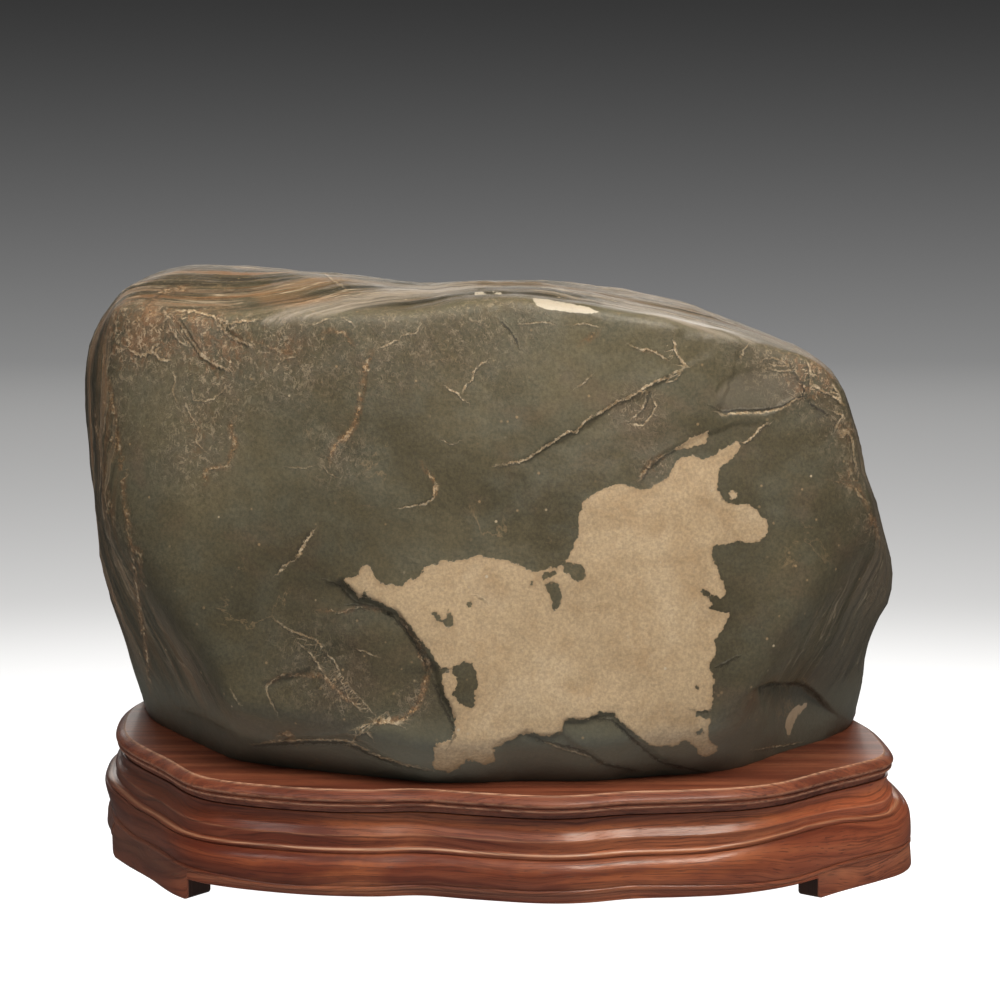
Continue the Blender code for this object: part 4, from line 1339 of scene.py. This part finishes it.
def woodMaterial(name, figured, roughness, waves):
    material, tree, shader = newMaterial(name)
    if figured:
        place = addNode(tree, "ShaderNodeUVMap", {"uv_map": "grain"}).outputs[0]
    else:
        place = addNode(tree, "ShaderNodeTexCoord").outputs["Object"]
    # slow waves bend the grain, far more in the figured body than in the straight board
    bend = place
    for along, across, reach in waves:
        wave = addNode(tree, "ShaderNodeTexNoise", None,
                       {"Vector": stretched(tree, place, (along, across, across)), "Scale": 1.0,
                        "Detail": 2.0}).outputs["Color"]
        bend = addNode(tree, "ShaderNodeVectorMath", {"operation": "MULTIPLY_ADD"},
                       {0: wave, 1: reach, 2: bend}).outputs[0]
    bands = grainNoise(tree, bend, 3.2, 95.0, 5.0, 0.6)
    finer = grainNoise(tree, bend, 8.0, 330.0, 4.0, 0.6)
    lines = grainNoise(tree, bend, 16.0, 950.0, 3.0, 0.6)
    pores = grainNoise(tree, bend, 120.0, 2700.0, 2.0, 0.5)
    clouds = grainNoise(tree, place, 8.0, 22.0, 4.0, 0.58, 0.8)
    base = blend(tree, ramp(tree, bands, 0.36, 0.56), wood["deep"], wood["mid"])
    base = coats(tree, base, wood, (("light", ramp(tree, bands, 0.52, 0.70, 0.0, 0.7)),))
    if figured:
        flame = mark(tree, "flame")
        warmth = calculate(tree, "ADD", clouds, times(tree, flame, 0.12))
        warm = ramp(tree, flame, 0.0, 1.0, 0.25, 1.0)
        dark = noise(tree, stretched(tree, bend, (9.0, 42.0, 1.0), (0, 0, 14)), 1.0, 5.0, 0.62, 1.0)
        base = coats(tree, base, wood, (
            ("warm", flame, 0.7),
            ("warm", ramp(tree, warmth, 0.44, 0.62), warm, 0.85),
            ("deep", ramp(tree, dark, 0.54, 0.66, 0.0, 0.65)),
        ))
    else:
        base = coats(tree, base, wood, (("light", ramp(tree, clouds, 0.48, 0.7, 0.1, 0.3)),))
        base = blend(tree, 1.0, base, wood["boardShade"], "MULTIPLY")
    base = coats(tree, base, wood, (
        ("deep", ramp(tree, finer, 0.50, 0.64, 0.0, 0.6)),
        ("light", ramp(tree, finer, 0.47, 0.36, 0.0, 0.3)),
        ("streak", ramp(tree, lines, 0.52, 0.64, 0.0, 0.55)),
        ("streak", ramp(tree, pores, 0.58, 0.66, 0.0, 0.65)),
        # pale lines on arrises and beads: partly wear, partly painted highlights
        ("wearAndPaintedHighlight", mark(tree, "wearAndPaintedHighlight"), ramp(tree, lines, 0.66, 0.40, 0.2, 0.75)),
    ))
    if figured:
        # painted shade, darker and greyer toward the left
        leftShade = mark(tree, "leftShade")
        base = blend(tree, leftShade, base, wood["leftShadeTint"], "MULTIPLY")
        base = coats(tree, base, wood, (("leftShade", ramp(tree, leftShade, 0.75, 1.0, 0.0, 0.4)),))
        # painted light brightening the figure at the right end
        base = blend(tree, mark(tree, "paintedGlow"), base, wood["paintedFlameLight"], "MULTIPLY")
        # painted shade under the stand
        base = coats(tree, base, wood, (("paintedUnderShade", mark(tree, "paintedUnderShade"), 0.9),))
    tree.links.new(base, shader.inputs["Base Color"])
    shader.inputs["Roughness"].default_value = roughness
    shader.inputs["Specular IOR Level"].default_value = 0.36
    shader.inputs["Coat Weight"].default_value = 0.15
    shader.inputs["Coat Roughness"].default_value = 0.15
    hand = noise(tree, stretched(tree, place, (45.0, 110.0, 110.0)), 1.0, 3.0)
    height = addUp(tree, times(tree, lines, 0.25), ramp(tree, pores, 0.58, 0.70, 0.0, -0.7), hand)
    bump = addNode(tree, "ShaderNodeBump", None, {"Strength": 0.3, "Distance": 0.0004, "Height": height})
    tree.links.new(bump.outputs[0], shader.inputs["Normal"])
    return material


def boardWood():
    return woodMaterial("rosewood board", False, wood["boardRoughness"], wood["boardWaves"])


def baseWood():
    return woodMaterial("rosewood body", True, wood["baseRoughness"], wood["baseWaves"])


makeRock()
makeBoard()
makeBase()


# stage, light and camera
def makeCamera():
    _, _, away = tiltedAxes()
    camera = bpy.data.objects.new("camera", bpy.data.cameras.new("camera"))
    spot = view["aim"] - away * view["distance"] + originShift
    camera.location = spot * millimetre
    camera.rotation_euler = (radians(90 - view["tilt"]), 0, 0)
    camera.data.sensor_width = view["sensor"]
    camera.data.lens = view["sensor"] * view["distance"] / (2 * view["middle"] * view["step"])
    camera.data.clip_end = view["farthest"]
    bpy.context.scene.collection.objects.link(camera)
    bpy.context.scene.camera = camera


# the floor is painted with a pool of light round the object and glows with it, lighting the object from below
stage = {
    "reach": 45.0,          # metres of floor beyond the object
    "halfTone": 0.67,       # distance at which the floor's paleness has halved
    "fall": 1.25,
    "leastTone": 0.04,
    "poolAlbedo": 0.3,
    "paintedGlow": 0.8,            # share of the floor's paleness that is its own
    "world": 0.07,
}


def makeFloor():
    # a floor painted with a pool of light that falls off smoothly away from the object, and glowing with it
    far = stage["reach"]
    mesh = bpy.data.meshes.new("floor")
    mesh.from_pydata([(-far, -far, 0), (far, -far, 0), (far, far, 0), (-far, far, 0)], [], [(0, 1, 2, 3)])
    floor = bpy.data.objects.new("floor", mesh)
    bpy.context.scene.collection.objects.link(floor)
    material, tree, shader = newMaterial("floor painted with a pool of light")
    place = addNode(tree, "ShaderNodeTexCoord").outputs["Object"]
    squashed = stretched(tree, place, (0.45, 1.0, 0.0))
    away = addNode(tree, "ShaderNodeVectorMath", {"operation": "LENGTH"}, {0: squashed}).outputs["Value"]
    share = calculate(tree, "POWER", calculate(tree, "DIVIDE", away, stage["halfTone"]), stage["fall"])
    paintedPool = calculate(tree, "DIVIDE", 1.0, calculate(tree, "ADD", share, 1.0))
    paintedPool = calculate(tree, "ADD", paintedPool, stage["leastTone"])
    tree.links.new(calculate(tree, "MULTIPLY", paintedPool, stage["poolAlbedo"]), shader.inputs["Base Color"])
    # painted light, brighter still close to the object
    close = ramp(tree, away, 0.18, 0.55, 0.45, 0.0)     # paler still close to the object
    tree.links.new(calculate(tree, "ADD", paintedPool, close), shader.inputs["Emission Color"])
    shader.inputs["Emission Strength"].default_value = stage["paintedGlow"]
    shader.inputs["Roughness"].default_value = 0.95
    shader.inputs["Specular IOR Level"].default_value = 0.0
    mesh.materials.append(material)
    floor.visible_glossy = False      # its paleness lights the object but doesn't wash out the gloss


def makeLight(name, place, size, power, colour=(1, 1, 1), mirrored=True):
    # a soft panel that faces the object, and may be left out of its gloss
    light = bpy.data.lights.new(name, "AREA")
    light.shape = "RECTANGLE"
    light.size, light.size_y = size
    light.energy = power
    light.color = colour
    item = bpy.data.objects.new(name, light)
    item.location = place
    item.rotation_euler = (Vector((0, 0, 0.15)) - Vector(place)).to_track_quat("-Z", "Y").to_euler()
    item.visible_camera = False
    item.visible_glossy = mirrored
    bpy.context.scene.collection.objects.link(item)


def makeLights():
    makeLight("overhead panel", (0.03, -0.36, 0.84), (0.8, 0.45), 11.5, (1.0, 0.98, 0.94), False)
    makeLight("front right panel", (0.42, -0.65, 1.13), (0.36, 0.32), 6.6, (1.0, 0.90, 0.78))
    makeLight("front left panel", (-0.72, -0.60, 1.19), (0.26, 0.26), 1.2, (1.0, 0.96, 0.92))
    makeLight("broad front fill", (0.35, -2.1, 0.62), (1.6, 0.6), 2.2, (1.0, 0.98, 0.95), False)
    makeLight("rear panel", (0.0, 1.5, 0.55), (2.0, 0.35), 7.0, (1.0, 0.96, 0.90))
    world = bpy.data.worlds.new("studio")
    bpy.context.scene.world = world
    world.use_nodes = True
    world.node_tree.nodes["Background"].inputs[0].default_value = (1.0, 1.0, 1.0, 1)
    world.node_tree.nodes["Background"].inputs[1].default_value = stage["world"]


makeCamera()
makeFloor()
makeLights()
bpy.context.scene.view_settings.view_transform = "Standard"
print("stage made")
